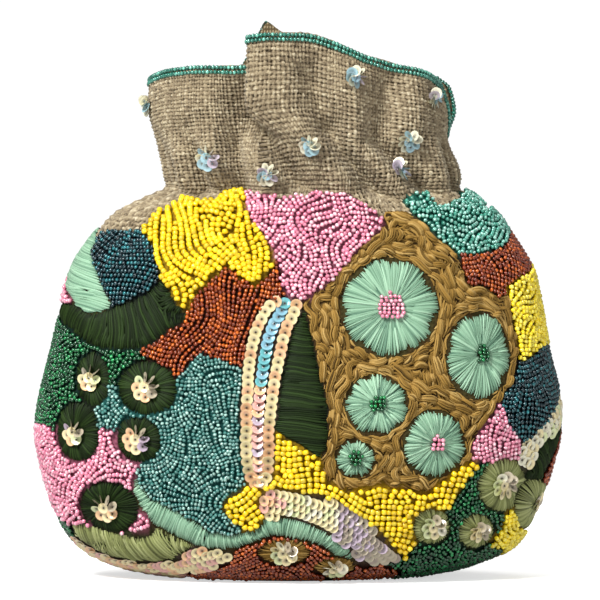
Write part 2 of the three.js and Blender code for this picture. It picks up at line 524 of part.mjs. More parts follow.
// Corners that lie on the line between their neighbours are left out
function tidied(outline) {
  const n = outline.length;
  return outline.filter((p, i) => {
    const before = p.clone().sub(outline[(i + n - 1) % n]);
    const after = outline[(i + 1) % n].clone().sub(p);
    return Math.abs(before.x * after.y - before.y * after.x) > 0.02;
  });
}

function areaOutline(area) {
  const corners = area.outline.map(([across, up]) => {
    const z = (Math.max(up, floorShare) / 100) * gatherHeight;
    return toSheet((across / 100) * halfWidth, z);
  });
  return tidied(corners);
}

function roundOutline(round) {
  const sides = round.wide > 15 ? 28 : round.wide > 8 ? 20 : 16;
  const corners = Array.from({ length: sides }, (_, i) => {
    const angle = (2 * Math.PI * i) / sides;
    const x = (round.across + round.wide * Math.cos(angle)) * (halfWidth / 100);
    const up = round.up + round.tall * Math.sin(angle);
    return toSheet(x, (Math.max(up, floorShare) / 100) * gatherHeight);
  });
  return tidied(corners);
}

function rosetteOutline(rosette) {
  const z = mix(gatherHeight, rimHeight(rosette.turn), rosette.share);
  const step = skin(rosette.turn + 1, z).distanceTo(skin(rosette.turn - 1, z)) / 2;
  const radius = rosetteRadius * rosette.size;
  return Array.from({ length: 12 }, (_, i) => {
    const angle = (2 * Math.PI * i) / 12;
    const turn = rosette.turn + (radius * Math.cos(angle)) / step;
    return new THREE.Vector2(rad(turn) * chartRadius, z + radius * Math.sin(angle));
  });
}

// An outline moved outwards by the stitch gap
function grown(outline) {
  const turning = Math.sign(THREE.ShapeUtils.area(outline));
  const n = outline.length;
  return outline.map((p, i) => {
    const before = p.clone().sub(outline[(i + n - 1) % n]).normalize();
    const after = outline[(i + 1) % n].clone().sub(p).normalize();
    const out = new THREE.Vector2(before.y + after.y, -before.x - after.x).normalize();
    const widen = Math.max(out.x * after.y - out.y * after.x, 0.5);
    return p.clone().addScaledVector(out, (turning * stitchGap) / widen);
  });
}

function board(outline, depth = 1, from = 0) {
  const geometry = new THREE.ExtrudeGeometry(new THREE.Shape(outline), {
    depth,
    bevelEnabled: false,
  });
  geometry.translate(0, 0, from);
  geometry.deleteAttribute('normal');
  geometry.deleteAttribute('uv');
  const merged = mergeVertices(geometry, 1e-4);
  return new wasm.Manifold(
    new wasm.Mesh({
      numProp: 3,
      vertProperties: merged.attributes.position.array,
      triVerts: new Uint32Array(merged.index.array),
    }),
  );
}

// The largest connected piece of a cut board, as a list of triangles' corners
function largestPiece(solid) {
  const { vertProperties, triVerts, numProp } = solid.getMesh();
  const owner = Array.from({ length: vertProperties.length / numProp }, (_, i) => i);
  const find = (i) => {
    while (owner[i] !== i) i = owner[i] = owner[owner[i]];
    return i;
  };
  for (let t = 0; t < triVerts.length; t += 3) {
    owner[find(triVerts[t + 1])] = find(triVerts[t]);
    owner[find(triVerts[t + 2])] = find(triVerts[t]);
  }
  const at = (i) => new THREE.Vector3().fromArray(vertProperties, i * numProp);
  const pieces = new Map();
  for (let t = 0; t < triVerts.length; t += 3) {
    const key = find(triVerts[t]);
    if (!pieces.has(key)) pieces.set(key, { corners: [], size: 0 });
    const [a, b, c] = [at(triVerts[t]), at(triVerts[t + 1]), at(triVerts[t + 2])];
    const piece = pieces.get(key);
    piece.corners.push(a, b, c);
    piece.size += a.dot(b.clone().cross(c));
  }
  return [...pieces.values()].sort((p, q) => q.size - p.size)[0].corners;
}

// Lays a cut board on the cloth: split finely first, so that it follows the curves
function laid(corners, lift, rise, step = sheetStep) {
  const flat = new THREE.BufferGeometry().setFromPoints(corners);
  const split = new TessellateModifier(step, 9).modify(flat);
  const geometry = mergeVertices(split, 1e-3);
  const position = geometry.attributes.position;
  for (let i = 0; i < position.count; i++) {
    const turn = THREE.MathUtils.radToDeg(position.getX(i) / chartRadius);
    const out = lift + rise * THREE.MathUtils.clamp(position.getZ(i), 0, 1);
    const p = point(turn, position.getY(i), out, STIFF);
    position.setXYZ(i, p.x, p.y, p.z);
  }
  return geometry;
}

const pouch = new THREE.Group();

function addPiece(name, geometry, look) {
  const { colour, rough, metal } = LOOKS[look];
  const material = new THREE.MeshStandardMaterial({
    color: colour,
    roughness: rough,
    metalness: metal,
    side: look === 'jute' ? THREE.DoubleSide : THREE.FrontSide,
  });
  const mesh = new THREE.Mesh(geometry, material);
  mesh.name = name;
  pouch.add(mesh);
}

addPiece('pouch_cloth', pouchGeometry, 'jute');
addPiece('lining', liningGeometry, 'lining');
addPiece('rim_edging', edgingGeometry(), 'rim_green');

const works = [
  ...AREAS.map((area) => ({ ...area, outline: areaOutline(area) })),
  ...ROUNDS.map((round) => ({ ...round, outline: roundOutline(round) })),
];
works.forEach((work, i) => {
  let solid = board(work.outline);
  for (const later of works.slice(i + 1)) {
    solid = solid.subtract(board(grown(later.outline), 3, -1));
  }
  const height = beadHeight * LOOKS[work.look].rise;
  addPiece(work.name, laid(largestPiece(solid), underlay, height, work.step), work.look);
});
for (const rosette of ROSETTES) {
  const disc = largestPiece(board(rosetteOutline(rosette)));
  addPiece(rosette.name, laid(disc, rosette.lift, rosetteThick), 'sequin');
}

export default pouch;
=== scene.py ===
import math

import bpy
import numpy as np
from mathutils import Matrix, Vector
from mathutils.bvhtree import BVHTree
from mathutils.kdtree import KDTree


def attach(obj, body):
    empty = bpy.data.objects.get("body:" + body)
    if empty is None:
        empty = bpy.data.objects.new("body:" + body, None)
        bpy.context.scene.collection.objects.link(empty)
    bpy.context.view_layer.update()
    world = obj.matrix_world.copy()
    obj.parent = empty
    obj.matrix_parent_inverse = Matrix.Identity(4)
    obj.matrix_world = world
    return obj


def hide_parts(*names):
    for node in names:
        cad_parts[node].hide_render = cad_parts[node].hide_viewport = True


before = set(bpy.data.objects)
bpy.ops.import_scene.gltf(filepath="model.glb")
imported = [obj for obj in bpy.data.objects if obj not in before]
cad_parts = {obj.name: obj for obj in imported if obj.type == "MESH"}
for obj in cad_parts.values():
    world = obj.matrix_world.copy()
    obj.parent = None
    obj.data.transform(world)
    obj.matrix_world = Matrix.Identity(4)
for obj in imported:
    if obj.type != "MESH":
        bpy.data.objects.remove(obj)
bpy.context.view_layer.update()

# Sizes of the bag are in millimetres, and a piece is brought to metres as its mesh is made. The
# view is set out in metres.
# A texture's scale is 1000 over the size of its pattern in millimetres.
# A turn is counted in degrees from the front's middle, + to the right.


# The view: a long lens, tipped down a little, and the bag standing on a white table top. One
# soft light stands above the front left, a weaker one at the front right, and one behind.
def linear(code):
    """An sRGB hex colour as the linear values that a shader works in."""
    parts = [int(code[i:i + 2], 16) / 255 for i in (1, 3, 5)]
    return [c / 12.92 if c <= 0.04045 else ((c + 0.055) / 1.055) ** 2.4 for c in parts] + [1.0]


def add(tree, kind, values=None, links=None, **settings):
    """One node, with the values of its sockets, what feeds them, and its settings."""
    made = tree.nodes.new(kind)
    for key, value in settings.items():
        setattr(made, key, value)
    for key, value in (values or {}).items():
        made.inputs[key].default_value = value
    for key, source in (links or {}).items():
        tree.links.new(source, made.inputs[key])
    return made


def bare_material(name):
    """A material with only its output node, and that node."""
    material = bpy.data.materials.new(name)
    material.use_nodes = True
    material.node_tree.nodes.clear()
    return material, material.node_tree, add(material.node_tree, "ShaderNodeOutputMaterial")


camera = bpy.data.objects.new("camera", bpy.data.cameras.new("camera"))
bpy.context.scene.collection.objects.link(camera)
bpy.context.scene.camera = camera
view_distance, view_tip, aim_height = 3.0, math.radians(2.5), 0.1108
camera.data.sensor_width = 36
camera.data.lens = 450
camera.data.clip_end = 30
camera.location = (0, -view_distance * math.cos(view_tip), aim_height + view_distance * math.sin(view_tip))
camera.rotation_euler = (math.pi / 2 - view_tip, 0, 0)

table_paint, tree, output = bare_material("matt_white_table_lacquer")
grain = add(tree, "ShaderNodeTexNoise", {"Scale": 1000 / 25, "Detail": 3.0})
shade = add(tree, "ShaderNodeMix", {6: linear("#f2f2f1"), 7: linear("#f6f6f5")},
            {0: grain.outputs["Fac"]}, data_type="RGBA")
lacquer = add(tree, "ShaderNodeBsdfPrincipled",
              {"Roughness": 0.6, "Emission Strength": 0.6, "Emission Color": linear("#ffffff")},
              {"Base Color": shade.outputs[2]})
# What lights the bag from below is kept weak, as under a real studio sweep
dim_bounce = add(tree, "ShaderNodeBsdfDiffuse", {"Color": (0.55, 0.55, 0.55, 1)})
path = add(tree, "ShaderNodeLightPath")
either = add(tree, "ShaderNodeMixShader", links={0: path.outputs["Is Camera Ray"],
                                                 1: dim_bounce.outputs[0], 2: lacquer.outputs[0]})
tree.links.new(either.outputs[0], output.inputs["Surface"])
bpy.ops.mesh.primitive_plane_add(size=2, location=(0, -0.5, 0))
table_top = bpy.context.object
table_top.name = "table_top"
table_top.data.materials.append(table_paint)

room = bpy.data.worlds.new("white_room")
bpy.context.scene.world = room
room.use_nodes = True
room.node_tree.nodes.clear()
path = add(room.node_tree, "ShaderNodeLightPath")
glow = add(room.node_tree, "ShaderNodeBackground", {"Color": (1, 1, 1, 1), "Strength": 0.23})
# The camera sees the room as plain white, brighter than it lights the bag
seen = add(room.node_tree, "ShaderNodeBackground", {"Color": (1, 1, 1, 1), "Strength": 1.05})
choice = add(room.node_tree, "ShaderNodeMixShader", links={
    0: path.outputs["Is Camera Ray"], 1: glow.outputs[0], 2: seen.outputs[0]})
add(room.node_tree, "ShaderNodeOutputWorld", links={"Surface": choice.outputs[0]})
bpy.context.scene.view_settings.view_transform = "Standard"

# Each light's place and size in metres, and its power in watts
for name, place, size, power in (("soft_key", (-0.8, -1.1, 1.35), 0.5, 49.0),
                                 ("soft_fill", (1.1, -1.8, 0.6), 1.2, 11.0),
                                 ("soft_top", (0.1, 0.5, 1.6), 0.9, 9.0)):
    light = bpy.data.objects.new(name, bpy.data.lights.new(name, "AREA"))
    light.data.size = size
    light.data.energy = power
    light.location = place
    light.rotation_euler = (Vector((0, 0, 0.1)) - Vector(place)).to_track_quat("-Z", "Y").to_euler()
    bpy.context.scene.collection.objects.link(light)


# The pouch: one tube of plain-woven jute, gathered at the neck by a sewn-in draw line, with
# a pleat lapped to the left of the front's middle. The tables give its shape by height.
half_width, half_depth = 103.0, 51.0
gather_height, neck_height = 155.0, 67.0
crease_depth = 7.4
cloth_wall = 1.6

# Height as a share of the gather's, half width, half depth, sideways lean
sections = np.array([
    (0, 0.37, 0.47, -0.029), (0.018, 0.495, 0.6, -0.034), (0.044, 0.683, 0.745, -0.029),
    (0.095, 0.837, 0.863, -0.017), (0.19, 0.923, 0.96, -0.014), (0.32, 0.983, 1, -0.01),
    (0.4, 1, 1, -0.004), (0.48, 0.985, 0.97, 0), (0.58, 0.947, 0.9, 0),
    (0.71, 0.906, 0.824, 0.004), (0.8, 0.873, 0.765, 0.004), (0.88, 0.795, 0.706, 0.009),
    (0.935, 0.728, 0.657, 0.014), (0.974, 0.635, 0.598, 0.029), (1, 0.558, 0.55, 0.033),
    (1.035, 0.557, 0.552, 0.029), (1.11, 0.554, 0.556, 0.006), (1.2, 0.571, 0.57, -0.006),
    (1.29, 0.563, 0.585, -0.01), (1.44, 0.545, 0.59, -0.01)])

# Creases and puffs: turn at the top and foot, heights of top and foot, breadth, depth
folds = [
    (-20, -1, 1.19, 0.98, 6, -1.15), (-25, -29, 1.26, 1.09, 6, -0.75),
    (-29, -27, 1.12, 0.955, 5.5, -0.8), (4, 13, 1.31, 1.13, 7, -0.8),
    (13, 30, 1.15, 0.965, 6.5, -1.05), (38, 31, 1.28, 1.13, 7, -0.66),
    (32, 55, 1.13, 0.98, 7, -0.76), (2, 19, 1.16, 0.99, 6, 0.55), (20, 23, 1.3, 1.12, 6, 0.4),
    (20, 44, 1.13, 0.97, 7, 0.6), (52, 50, 1.3, 1.13, 10, 0.5), (62, 66, 1.12, 0.97, 8, 0.5),
    (76, 78, 1.09, 0.96, 5, -0.45), (88, 88, 1.084, 0.981, 11, 0.42),
    (103, 102, 1.329, 1.161, 12, 0.49), (-18, -17, 1.1, 0.98, 6, 0.6),
    (-38, -37, 1.14, 1.01, 7, 0.75), (-46, -46, 1.09, 0.96, 4.5, -0.6),
    (-57, -56, 1.11, 0.985, 7.5, 0.6), (-67, -66, 1.08, 0.955, 5.5, -0.5),
    (-46, -46, 1.33, 1.17, 14, 0.35), (-80, -80, 1.135, 0.961, 8, -0.37),
    (-110, -106, 1.265, 0.955, 9, -0.62), (-134, -128, 1.316, 0.948, 9, -0.69),
    (-152, -154, 1.2, 0.955, 9, -0.62), (-174, -178, 1.355, 0.948, 10, -0.77),
    (160, 158, 1.226, 0.955, 9, -0.62), (138, 134, 1.29, 0.948, 9, -0.69),
    (116, 114, 1.135, 0.961, 8, -0.54)]

# The mouth's edge by turn, as a share of the neck's height, with the notch at the right
rim = np.array([
    (-180, 0.9), (-174, 0.925), (-167, 1), (-164, 0.92), (-158, 0.74), (-148, 0.69),
    (-120, 0.68), (-90, 0.657),
    (-62, 0.716), (-43, 0.739), (-16, 0.746), (-13.3, 0.769), (-10.7, 0.813), (-8.2, 0.873),
    (-5.6, 0.915), (0, 0.937), (5, 0.934), (10, 0.91), (16, 0.878), (27, 0.806), (44, 0.746),
    (64, 0.687), (74, 0.642), (82, 0.537), (91, 0.343), (97, 0.463), (104, 0.612),
    (112, 0.672), (130, 0.69), (150, 0.72), (165, 0.82), (180, 0.9)])

# The pleat in section: turn from its centre and stand-off in cloth walls, of the outer face
# and then of the inner face
pleat_turn, pleat_foot, pleat_full = -12.5, 1.11, 1.226
pleat_start, pleat_span, pleat_rows = -14, 34, 13
pleat = np.array([(i, *row) for i, row in enumerate([
    (-14, 0, -14, -1), (-8, -0.62, -8, -1.62), (-2, -1, -2, -2), (4, -1.06, 4, -2.06),
    (5, -0.78, 6.8, -1.38), (4, -0.5, 5.6, 0.37), (0, -0.5, 0, 0.5), (-4.4, -0.44, -4, 0.5),
    (-6.6, 0.56, -4.8, 0.75), (-5.4, 1.88, -4, 1.06), (0, 2.06, 0, 1.06), (7, 1.75, 7, 0.75),
    (14, 0.75, 14, -0.25), (20, 0, 20, -1)])], float)


def smooth_curve(table, at):
    """The table's columns where its first column is at, on a smooth curve through the rows."""
    key, rows = table[:, 0], table[:, 1:]
    after = np.minimum(np.arange(len(key)) + 1, len(key) - 1)
    before = np.maximum(np.arange(len(key)) - 1, 0)
    slope = (rows[after] - rows[before]) / (key[after] - key[before])[:, None]
    i = np.clip(np.searchsorted(key, at, "right") - 1, 0, len(key) - 2)
    span = (key[i + 1] - key[i])[..., None]
    t = np.clip((np.asarray(at)[..., None] - key[i][..., None]) / span, 0, 1)
    return ((2 * t**3 - 3 * t**2 + 1) * rows[i] + (t**3 - 2 * t**2 + t) * span * slope[i]
            + (3 * t**2 - 2 * t**3) * rows[i + 1] + (t**3 - t**2) * span * slope[i + 1])


def ease(value, low, high):
    t = np.clip((value - low) / (high - low), 0, 1)
    return t * t * (3 - 2 * t)


def wrapped(turn):
    return (turn + 540) % 360 - 180


def unit(v):
    return v / np.maximum(np.linalg.norm(v, axis=-1, keepdims=True), 1e-9)


def mouth_height(turn):
    return gather_height + neck_height * np.interp(wrapped(turn), rim[:, 0], rim[:, 1])


def skin(turn, z, puffs, creases):
    """The cloth's outer face, before the pleat is laid."""
    up = z / gather_height
    across, deep, lean = np.moveaxis(smooth_curve(sections, up), -1, 0)
    a, b = half_width * across, half_depth * deep
    s, c = np.sin(np.radians(turn)), np.cos(np.radians(turn))
    out = np.zeros(up.shape)
    for turn_top, turn_foot, top, foot, breadth, depth in folds:
        t = np.clip((up - foot) / (top - foot), 0, 1)
        off = wrapped(turn - turn_foot - t * (turn_top - turn_foot)) / breadth
        fade = ease(up, foot - 0.026, foot + 0.045) * (1 - ease(up, top - 0.032, top + 0.065))
        share = puffs if depth > 0 else creases
        out += crease_depth * depth * share * np.exp(-off * off) * fade
    level = unit(np.stack([s / a, -c / b], -1))
    return np.stack([half_width * lean + a * s + level[..., 0] * out,
                     -b * c + level[..., 1] * out, z], -1)


def on_skin(turn, z, out, puffs=1.0, creases=1.0):
    """Points that stand off the outer face by out, and the face's normals there."""
    turn, z, out = (np.array(v, float) for v in np.broadcast_arrays(turn, z, out))
    low = np.maximum(z - 0.5, 0)
    sideways = skin(turn + 0.5, z, puffs, creases) - skin(turn - 0.5, z, puffs, creases)
    rising = skin(turn, low + 1, puffs, creases) - skin(turn, low, puffs, creases)
    normal = unit(np.cross(sideways, rising))
    return skin(turn, z, puffs, creases) + normal * out[..., None], normal


def cloth(turn, fold, z, inner=0):
    """The cloth with its pleat laid: fold counts along the pleat's section, or is nan."""
    turn, fold, z = (np.array(v, float) for v in np.broadcast_arrays(turn, fold, z))
    pleated = np.isfinite(fold)
    row = smooth_curve(pleat, np.where(pleated, fold, 0.0))
    lapped = np.where(pleated, ease(z / gather_height, pleat_foot, pleat_full), 0.0)
    turn = turn + lapped * (pleat_turn + row[..., 2 * inner] - turn)
    out = (1 - lapped) * -cloth_wall * inner + lapped * cloth_wall * row[..., 1 + 2 * inner]
    return on_skin(turn, z, out)[0]


def spaced(first, last, z, count):
    """Turns from first to last, spaced evenly along the cloth at height z."""
    turns = np.linspace(first, last, 1500)
    ring = skin(turns, np.full(turns.shape, float(z)), 1.0, 1.0)
    run = np.r_[0, np.cumsum(np.linalg.norm(np.diff(ring, axis=0), axis=1))]
    return np.interp(np.linspace(0, run[-1], count), run, turns)


def pleat_turns(fold):
    """The turn that each place along the pleat's section has before the pleat is laid."""
    return pleat_turn + pleat_start + pleat_span * fold / pleat_rows


def columns_round(pleat_count, count, z=170):
    """Columns round the pouch: their turns and their place along the pleat's section."""
    section = np.linspace(0, pleat_rows, 800)
    laid = cloth(pleat_turn, section, np.full(800, gather_height * 1.25))
    run = np.r_[0, np.cumsum(np.linalg.norm(np.diff(laid, axis=0), axis=1))]
    folded = np.interp(np.linspace(0, run[-1], pleat_count), run, section)
    rest = spaced(pleat_turns(pleat_rows), pleat_turns(0) + 360, z, count + 2)[1:-1]
    return np.r_[pleat_turns(folded), rest], np.r_[folded, np.full(count, np.nan)]


def piece(name, points, faces, material, slot, stands_for=(), uv=None, **layers):
    """A mesh piece from points in millimetres. It rides on the pouch, and layers holds the
    values per point that its material reads."""
    mesh = bpy.data.meshes.new(name)
    mesh.vertices.add(len(points))
    mesh.vertices.foreach_set("co", (points * 0.001).astype(np.float32).ravel())
    corners = np.concatenate([f.ravel() for f in faces]).astype(np.int32)
    sizes = np.concatenate([np.full(len(f), f.shape[1]) for f in faces])
    mesh.loops.add(len(corners))
    mesh.loops.foreach_set("vertex_index", corners)
    mesh.polygons.add(len(sizes))
    mesh.polygons.foreach_set("loop_start", np.r_[0, np.cumsum(sizes)[:-1]].astype(np.int32))
    mesh.update(calc_edges=True)
    mesh.shade_smooth()
    for key, values in layers.items():
        colour = values.ndim == 2
        layer = mesh.attributes.new(key, "FLOAT_COLOR" if colour else "FLOAT", "POINT")
        layer.data.foreach_set("color" if colour else "value", values.astype(np.float32).ravel())
    if uv is not None:
        mesh.uv_layers.new(name="along_threads").data.foreach_set(
            "uv", uv[corners].astype(np.float32).ravel())
    mesh.materials.append(material)
    made = bpy.data.objects.new(name, mesh)
    bpy.context.scene.collection.objects.link(made)
    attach(made, "root")
    if stands_for:
        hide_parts(*stands_for)
    return made


def quads_between(rings, size):
    """Faces between closed rows of points, with each row size points long."""
    j, i = np.meshgrid(np.arange(rings - 1), np.arange(size), indexing="ij")
    n = (i + 1) % size
    return np.stack([j * size + i, j * size + n, (j + 1) * size + n, (j + 1) * size + i],
                    -1).reshape(-1, 4)


# The worked areas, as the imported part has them: which one covers each spot of the front.
# The front is looked over by turn and height on a fine sheet of spots.
turn_step, height_step, sheet_reach = 0.3, 0.5, 98.4
sheet_turns = np.arange(-sheet_reach, sheet_reach + 0.1, turn_step)
sheet_heights = np.arange(3.0, 156.1, height_step)
sheet_turn, sheet_height = np.meshgrid(sheet_turns, sheet_heights, indexing="ij")
stiff = {"puffs": 1.0, "creases": 0.3}
sheet_points, sheet_normals = on_skin(sheet_turn, sheet_height, 0.0, **stiff)
works = sorted(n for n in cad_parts
               if n not in ("pouch_cloth", "lining", "rim_edging") and "rosette" not in n)
corner_list, face_list, face_work = [], [], []
for number, name in enumerate(works, 1):
    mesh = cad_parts[name].data
    base = len(corner_list)
    corner_list += [v.co * 1000 for v in mesh.vertices]
    face_list += [[base + k for k in p.vertices] for p in mesh.polygons]
    face_work += [number] * len(mesh.polygons)
tops = BVHTree.FromPolygons(corner_list, face_list)
labels = np.zeros(sheet_turn.shape, int)
look_from, look_through = 8, 10
starts = sheet_points + sheet_normals * look_from
for i in range(labels.shape[0]):
    for j, (start, normal) in enumerate(zip(starts[i].tolist(), sheet_normals[i].tolist())):
        hit = tops.ray_cast(start, (-normal[0], -normal[1], -normal[2]), look_through)
        if hit[2] is not None:
            labels[i, j] = face_work[hit[2]]


def shifted(values, axis, way):
    """The values one spot over, with nothing carried round from the far edge."""
    beside = np.roll(values, way, axis)
    beside[(slice(None),) * axis + (0 if way > 0 else -1,)] = 0
    return beside


for _ in range(2):
    for axis, way in ((0, 1), (0, -1), (1, 1), (1, -1)):
        beside = shifted(labels, axis, way)
        labels = np.where((labels == 0) & (beside > 0), beside, labels)

# Bare spots well inside the worked front are filled by the bead areas beside them
beaded = np.array([False] + ["beads" in n for n in works])
highest = np.where(labels > 0, sheet_height, 0).max(1, keepdims=True)
edge_margin = 6
well_inside = (sheet_height < highest - edge_margin) & (sheet_height > edge_margin)
for _ in range(30):
    for axis, way in ((0, 1), (0, -1), (1, 1), (1, -1)):
        beside = shifted(labels, axis, way)
        labels = np.where((labels == 0) & well_inside & beaded[beside], beside, labels)
# A bare patch that no beads reach from beside takes those of the nearest bead area but teal
front_turn, longest_reach = 80, 16
left_bare = np.argwhere((labels == 0) & well_inside & (np.abs(sheet_turn) < front_turn))
bead_spots = np.argwhere(beaded[labels] & (labels != works.index("teal_beads_centre") + 1))[::5]
nearest_beads = KDTree(len(bead_spots))
for k, (i, j) in enumerate(bead_spots):
    nearest_beads.insert(sheet_points[i, j], k)
nearest_beads.balance()
for i, j in left_bare:
    _, k, reach = nearest_beads.find(sheet_points[i, j])
    if reach < longest_reach:
        labels[i, j] = labels[tuple(bead_spots[k])]

along_turn = np.gradient(sheet_points, turn_step, axis=0)
along_height = np.gradient(sheet_points, height_step, axis=1)
turn_size = np.linalg.norm(along_turn, axis=-1)
height_size = np.linalg.norm(along_height, axis=-1)


def spot(turn, z):
    """The nearest spot of the sheet."""
    i = np.clip(np.rint((turn - sheet_turns[0]) / turn_step), 0, len(sheet_turns) - 1)
    j = np.clip(np.rint((z - sheet_heights[0]) / height_step), 0, len(sheet_heights) - 1)
    return i.astype(int), j.astype(int)


def work_at(turn, z):
    """The number of the worked area there, or 0."""
    turn = wrapped(turn)
    inside = (np.abs(turn) <= sheet_reach) & (z >= sheet_heights[0] - 0.3) & (z <= sheet_heights[-1])
    return np.where(inside, labels[spot(turn, z)], 0)


# Distance from each spot to its area's edge, and the line across the area there, kept as a
# doubled angle so that both sides of a band agree
edge = np.zeros(labels.shape, bool)
for axis in (0, 1):
    differs = np.diff(labels, axis=axis) != 0
    edge[tuple(slice(0, s) for s in differs.shape)] |= differs
edge_spots = np.argwhere(edge)
tree_of_edges = KDTree(len(edge_spots))
for k, place in enumerate(sheet_points[edge]):
    tree_of_edges.insert(place, k)
tree_of_edges.balance()
inset = np.zeros(labels.shape)
for i, j in np.argwhere(labels > 0):
    inset[i, j] = tree_of_edges.find(sheet_points[i, j])[2]


def blurred(values, reach):
    """A box blur, reach millimetres to each side."""
    for axis, step in ((0, turn_step * 1.4), (1, height_step)):
        n = max(1, int(reach / step))
        padded = np.concatenate([np.zeros_like(values.take([0], axis)).repeat(n + 1, axis), values,
                                 np.zeros_like(values.take([0], axis)).repeat(n, axis)], axis)
        total = np.cumsum(padded, axis)
        size = values.shape[axis]
        values = (total.take(np.arange(2 * n + 1, 2 * n + 1 + size), axis)
                  - total.take(np.arange(size), axis)) / (2 * n + 1)
    return values


across_turn, across_height = np.gradient(inset)
across = np.arctan2(across_height / height_step / height_size, across_turn / turn_step / turn_size)


def line_across(number, reach):
    """The line across one worked area, smoothed over reach millimetres."""
    weight = (labels == number) * (np.hypot(across_turn, across_height) + 1e-3)
    c = blurred(weight * np.cos(2 * across), reach)
    s = blurred(weight * np.sin(2 * across), reach)
    return 0.5 * np.arctan2(s, c)


def wander(seed, size, amount):
    """A slowly turning angle over the sheet, whose waves are about size millimetres long."""
    random = np.random.default_rng(seed)
    x, z = sheet_points[..., 0] + 0.6 * sheet_points[..., 1], sheet_points[..., 2]
    total = np.zeros(x.shape)
    for _ in range(6):
        way, phase = random.uniform(0, 2 * math.pi, 2)
        k = 2 * math.pi / (size * random.uniform(0.7, 1.5))
        total += np.sin(k * (x * math.cos(way) + z * math.sin(way)) + phase)
    return amount * total / 2.2


sheet_lists = {"label": labels.tolist(), "place": sheet_points.tolist(),
               "turn_size": turn_size.tolist(), "height_size": height_size.tolist(),
               "along_turn": along_turn.tolist(), "along_height": along_height.tolist()}


def lay_rows(number, line, gap, step, close=0.8, seed=1, margin=0.0, fill=0.0):
    """Rows inside one worked area that follow the line, a gap apart: for each row the turn
    and height of its points, a step apart. Single points then fill what is still open."""
    random = np.random.default_rng(seed)
    line = line.tolist()
    label, place = sheet_lists["label"], sheet_lists["place"]
    wide, tall = sheet_lists["turn_size"], sheet_lists["height_size"]
    to_turn, to_height = sheet_lists["along_turn"], sheet_lists["along_height"]
    columns, rows_up = labels.shape
    most_points = 400
    taken, rows = {}, []

    def look(turn, z):
        i, j = round((turn - sheet_turns[0]) / turn_step), round((z - sheet_heights[0]) / height_step)
        if not (0 <= i < columns and 0 <= j < rows_up) or label[i][j] != number:
            return None
        if margin and inset[i, j] < margin:
            return None
        dt, dz = turn - sheet_turns[i], z - sheet_heights[j]
        p, e, h = place[i][j], to_turn[i][j], to_height[i][j]
        return i, j, (p[0] + e[0] * dt + h[0] * dz, p[1] + e[1] * dt + h[1] * dz, p[2] + h[2] * dz)

    def cell(p):
        return int(p[0] // gap), int(p[1] // gap), int(p[2] // gap)

    def is_free(p, reach, own):
        a, b, c = cell(p)
        for x in (a - 1, a, a + 1):
            for y in (b - 1, b, b + 1):
                for z in (c - 1, c, c + 1):
                    for q, row in taken.get((x, y, z), ()):
                        if row != own and ((q[0] - p[0]) ** 2 + (q[1] - p[1]) ** 2
                                           + (q[2] - p[2]) ** 2 < reach * reach):
                            return False
        return True

    spots = np.argwhere((labels == number) & (inset > margin))
    first = np.abs(inset[spots[:, 0], spots[:, 1]] - gap * 0.5 - margin)
    order = spots[np.lexsort((random.random(len(spots)), np.round(first / gap)))]
    waiting = []
    fresh = iter(order[::7].tolist())
    while True:
        if waiting:
            seed_turn, seed_z = waiting.pop(0)
        else:
            found = next(fresh, None)
            if found is None:
                break
            seed_turn, seed_z = sheet_turns[found[0]], sheet_heights[found[1]]
        here = look(seed_turn, seed_z)
        if here is None or not is_free(here[2], gap * 0.88, -1):
            continue
        own = len(rows)
        halves = []
        for way in (1, -1):
            turn, z, seen_here = seed_turn, seed_z, here
            angle = line[here[0]][here[1]] + (0 if way > 0 else math.pi)
            half = []
            while len(half) < most_points:
                i, j, p = seen_here
                wanted = line[i][j]
                if math.cos(wanted - angle) < 0:
                    wanted += math.pi
                angle = wanted
                turn += step * math.cos(angle) / wide[i][j]
                z += step * math.sin(angle) / tall[i][j]
                seen_here = look(turn, z)
                if seen_here is None or not is_free(seen_here[2], gap * close, own):
                    break
                half.append((turn, z, seen_here, angle))
            halves.append(half)
        back = [(t, z, s, a + math.pi) for t, z, s, a in reversed(halves[1])]
        whole = back + [(seed_turn, seed_z, here, line[here[0]][here[1]])] + halves[0]
        for turn, z, seen_here, angle in whole:
            i, j, p = seen_here
            taken.setdefault(cell(p), []).append((p, own))
            for side in (1, -1):
                across_way = angle + side * math.pi / 2
                waiting.append((turn + gap * math.cos(across_way) / wide[i][j],
                                z + gap * math.sin(across_way) / tall[i][j]))
        rows.append(np.array([(turn, z) for turn, z, _, _ in whole]))
    for i, j in order[::3].tolist() if fill else []:
        here = look(sheet_turns[i], sheet_heights[j])
        if here is not None and is_free(here[2], gap * fill, -1):
            taken.setdefault(cell(here[2]), []).append((here[2], len(rows)))
            rows.append(np.array([(sheet_turns[i], sheet_heights[j])]))
    return rows


# The cloth itself, drawn as the ground of the weave. Its outer face is painted a dark shade colour that
# stands for the shadow between the threads. Under the embroidery it is lifted to the stitches' underside,
# and there it is painted a dark shade tinted like the area's thread or beads, for the shadow in the gaps
# between them.
fine_turns, fine_folds = columns_round(66, 190)
body_heights = np.r_[0, 1, 2.8, 5, 7.5, 11, np.arange(15, 133, 4.0), np.arange(133, 155, 2.2)]
neck_shares = np.linspace(0, 1, 34)
heights = np.vstack([np.repeat(body_heights[:, None], len(fine_turns), 1),
                     gather_height + neck_shares[:, None]
                     * (mouth_height(fine_turns) - gather_height)[None]])
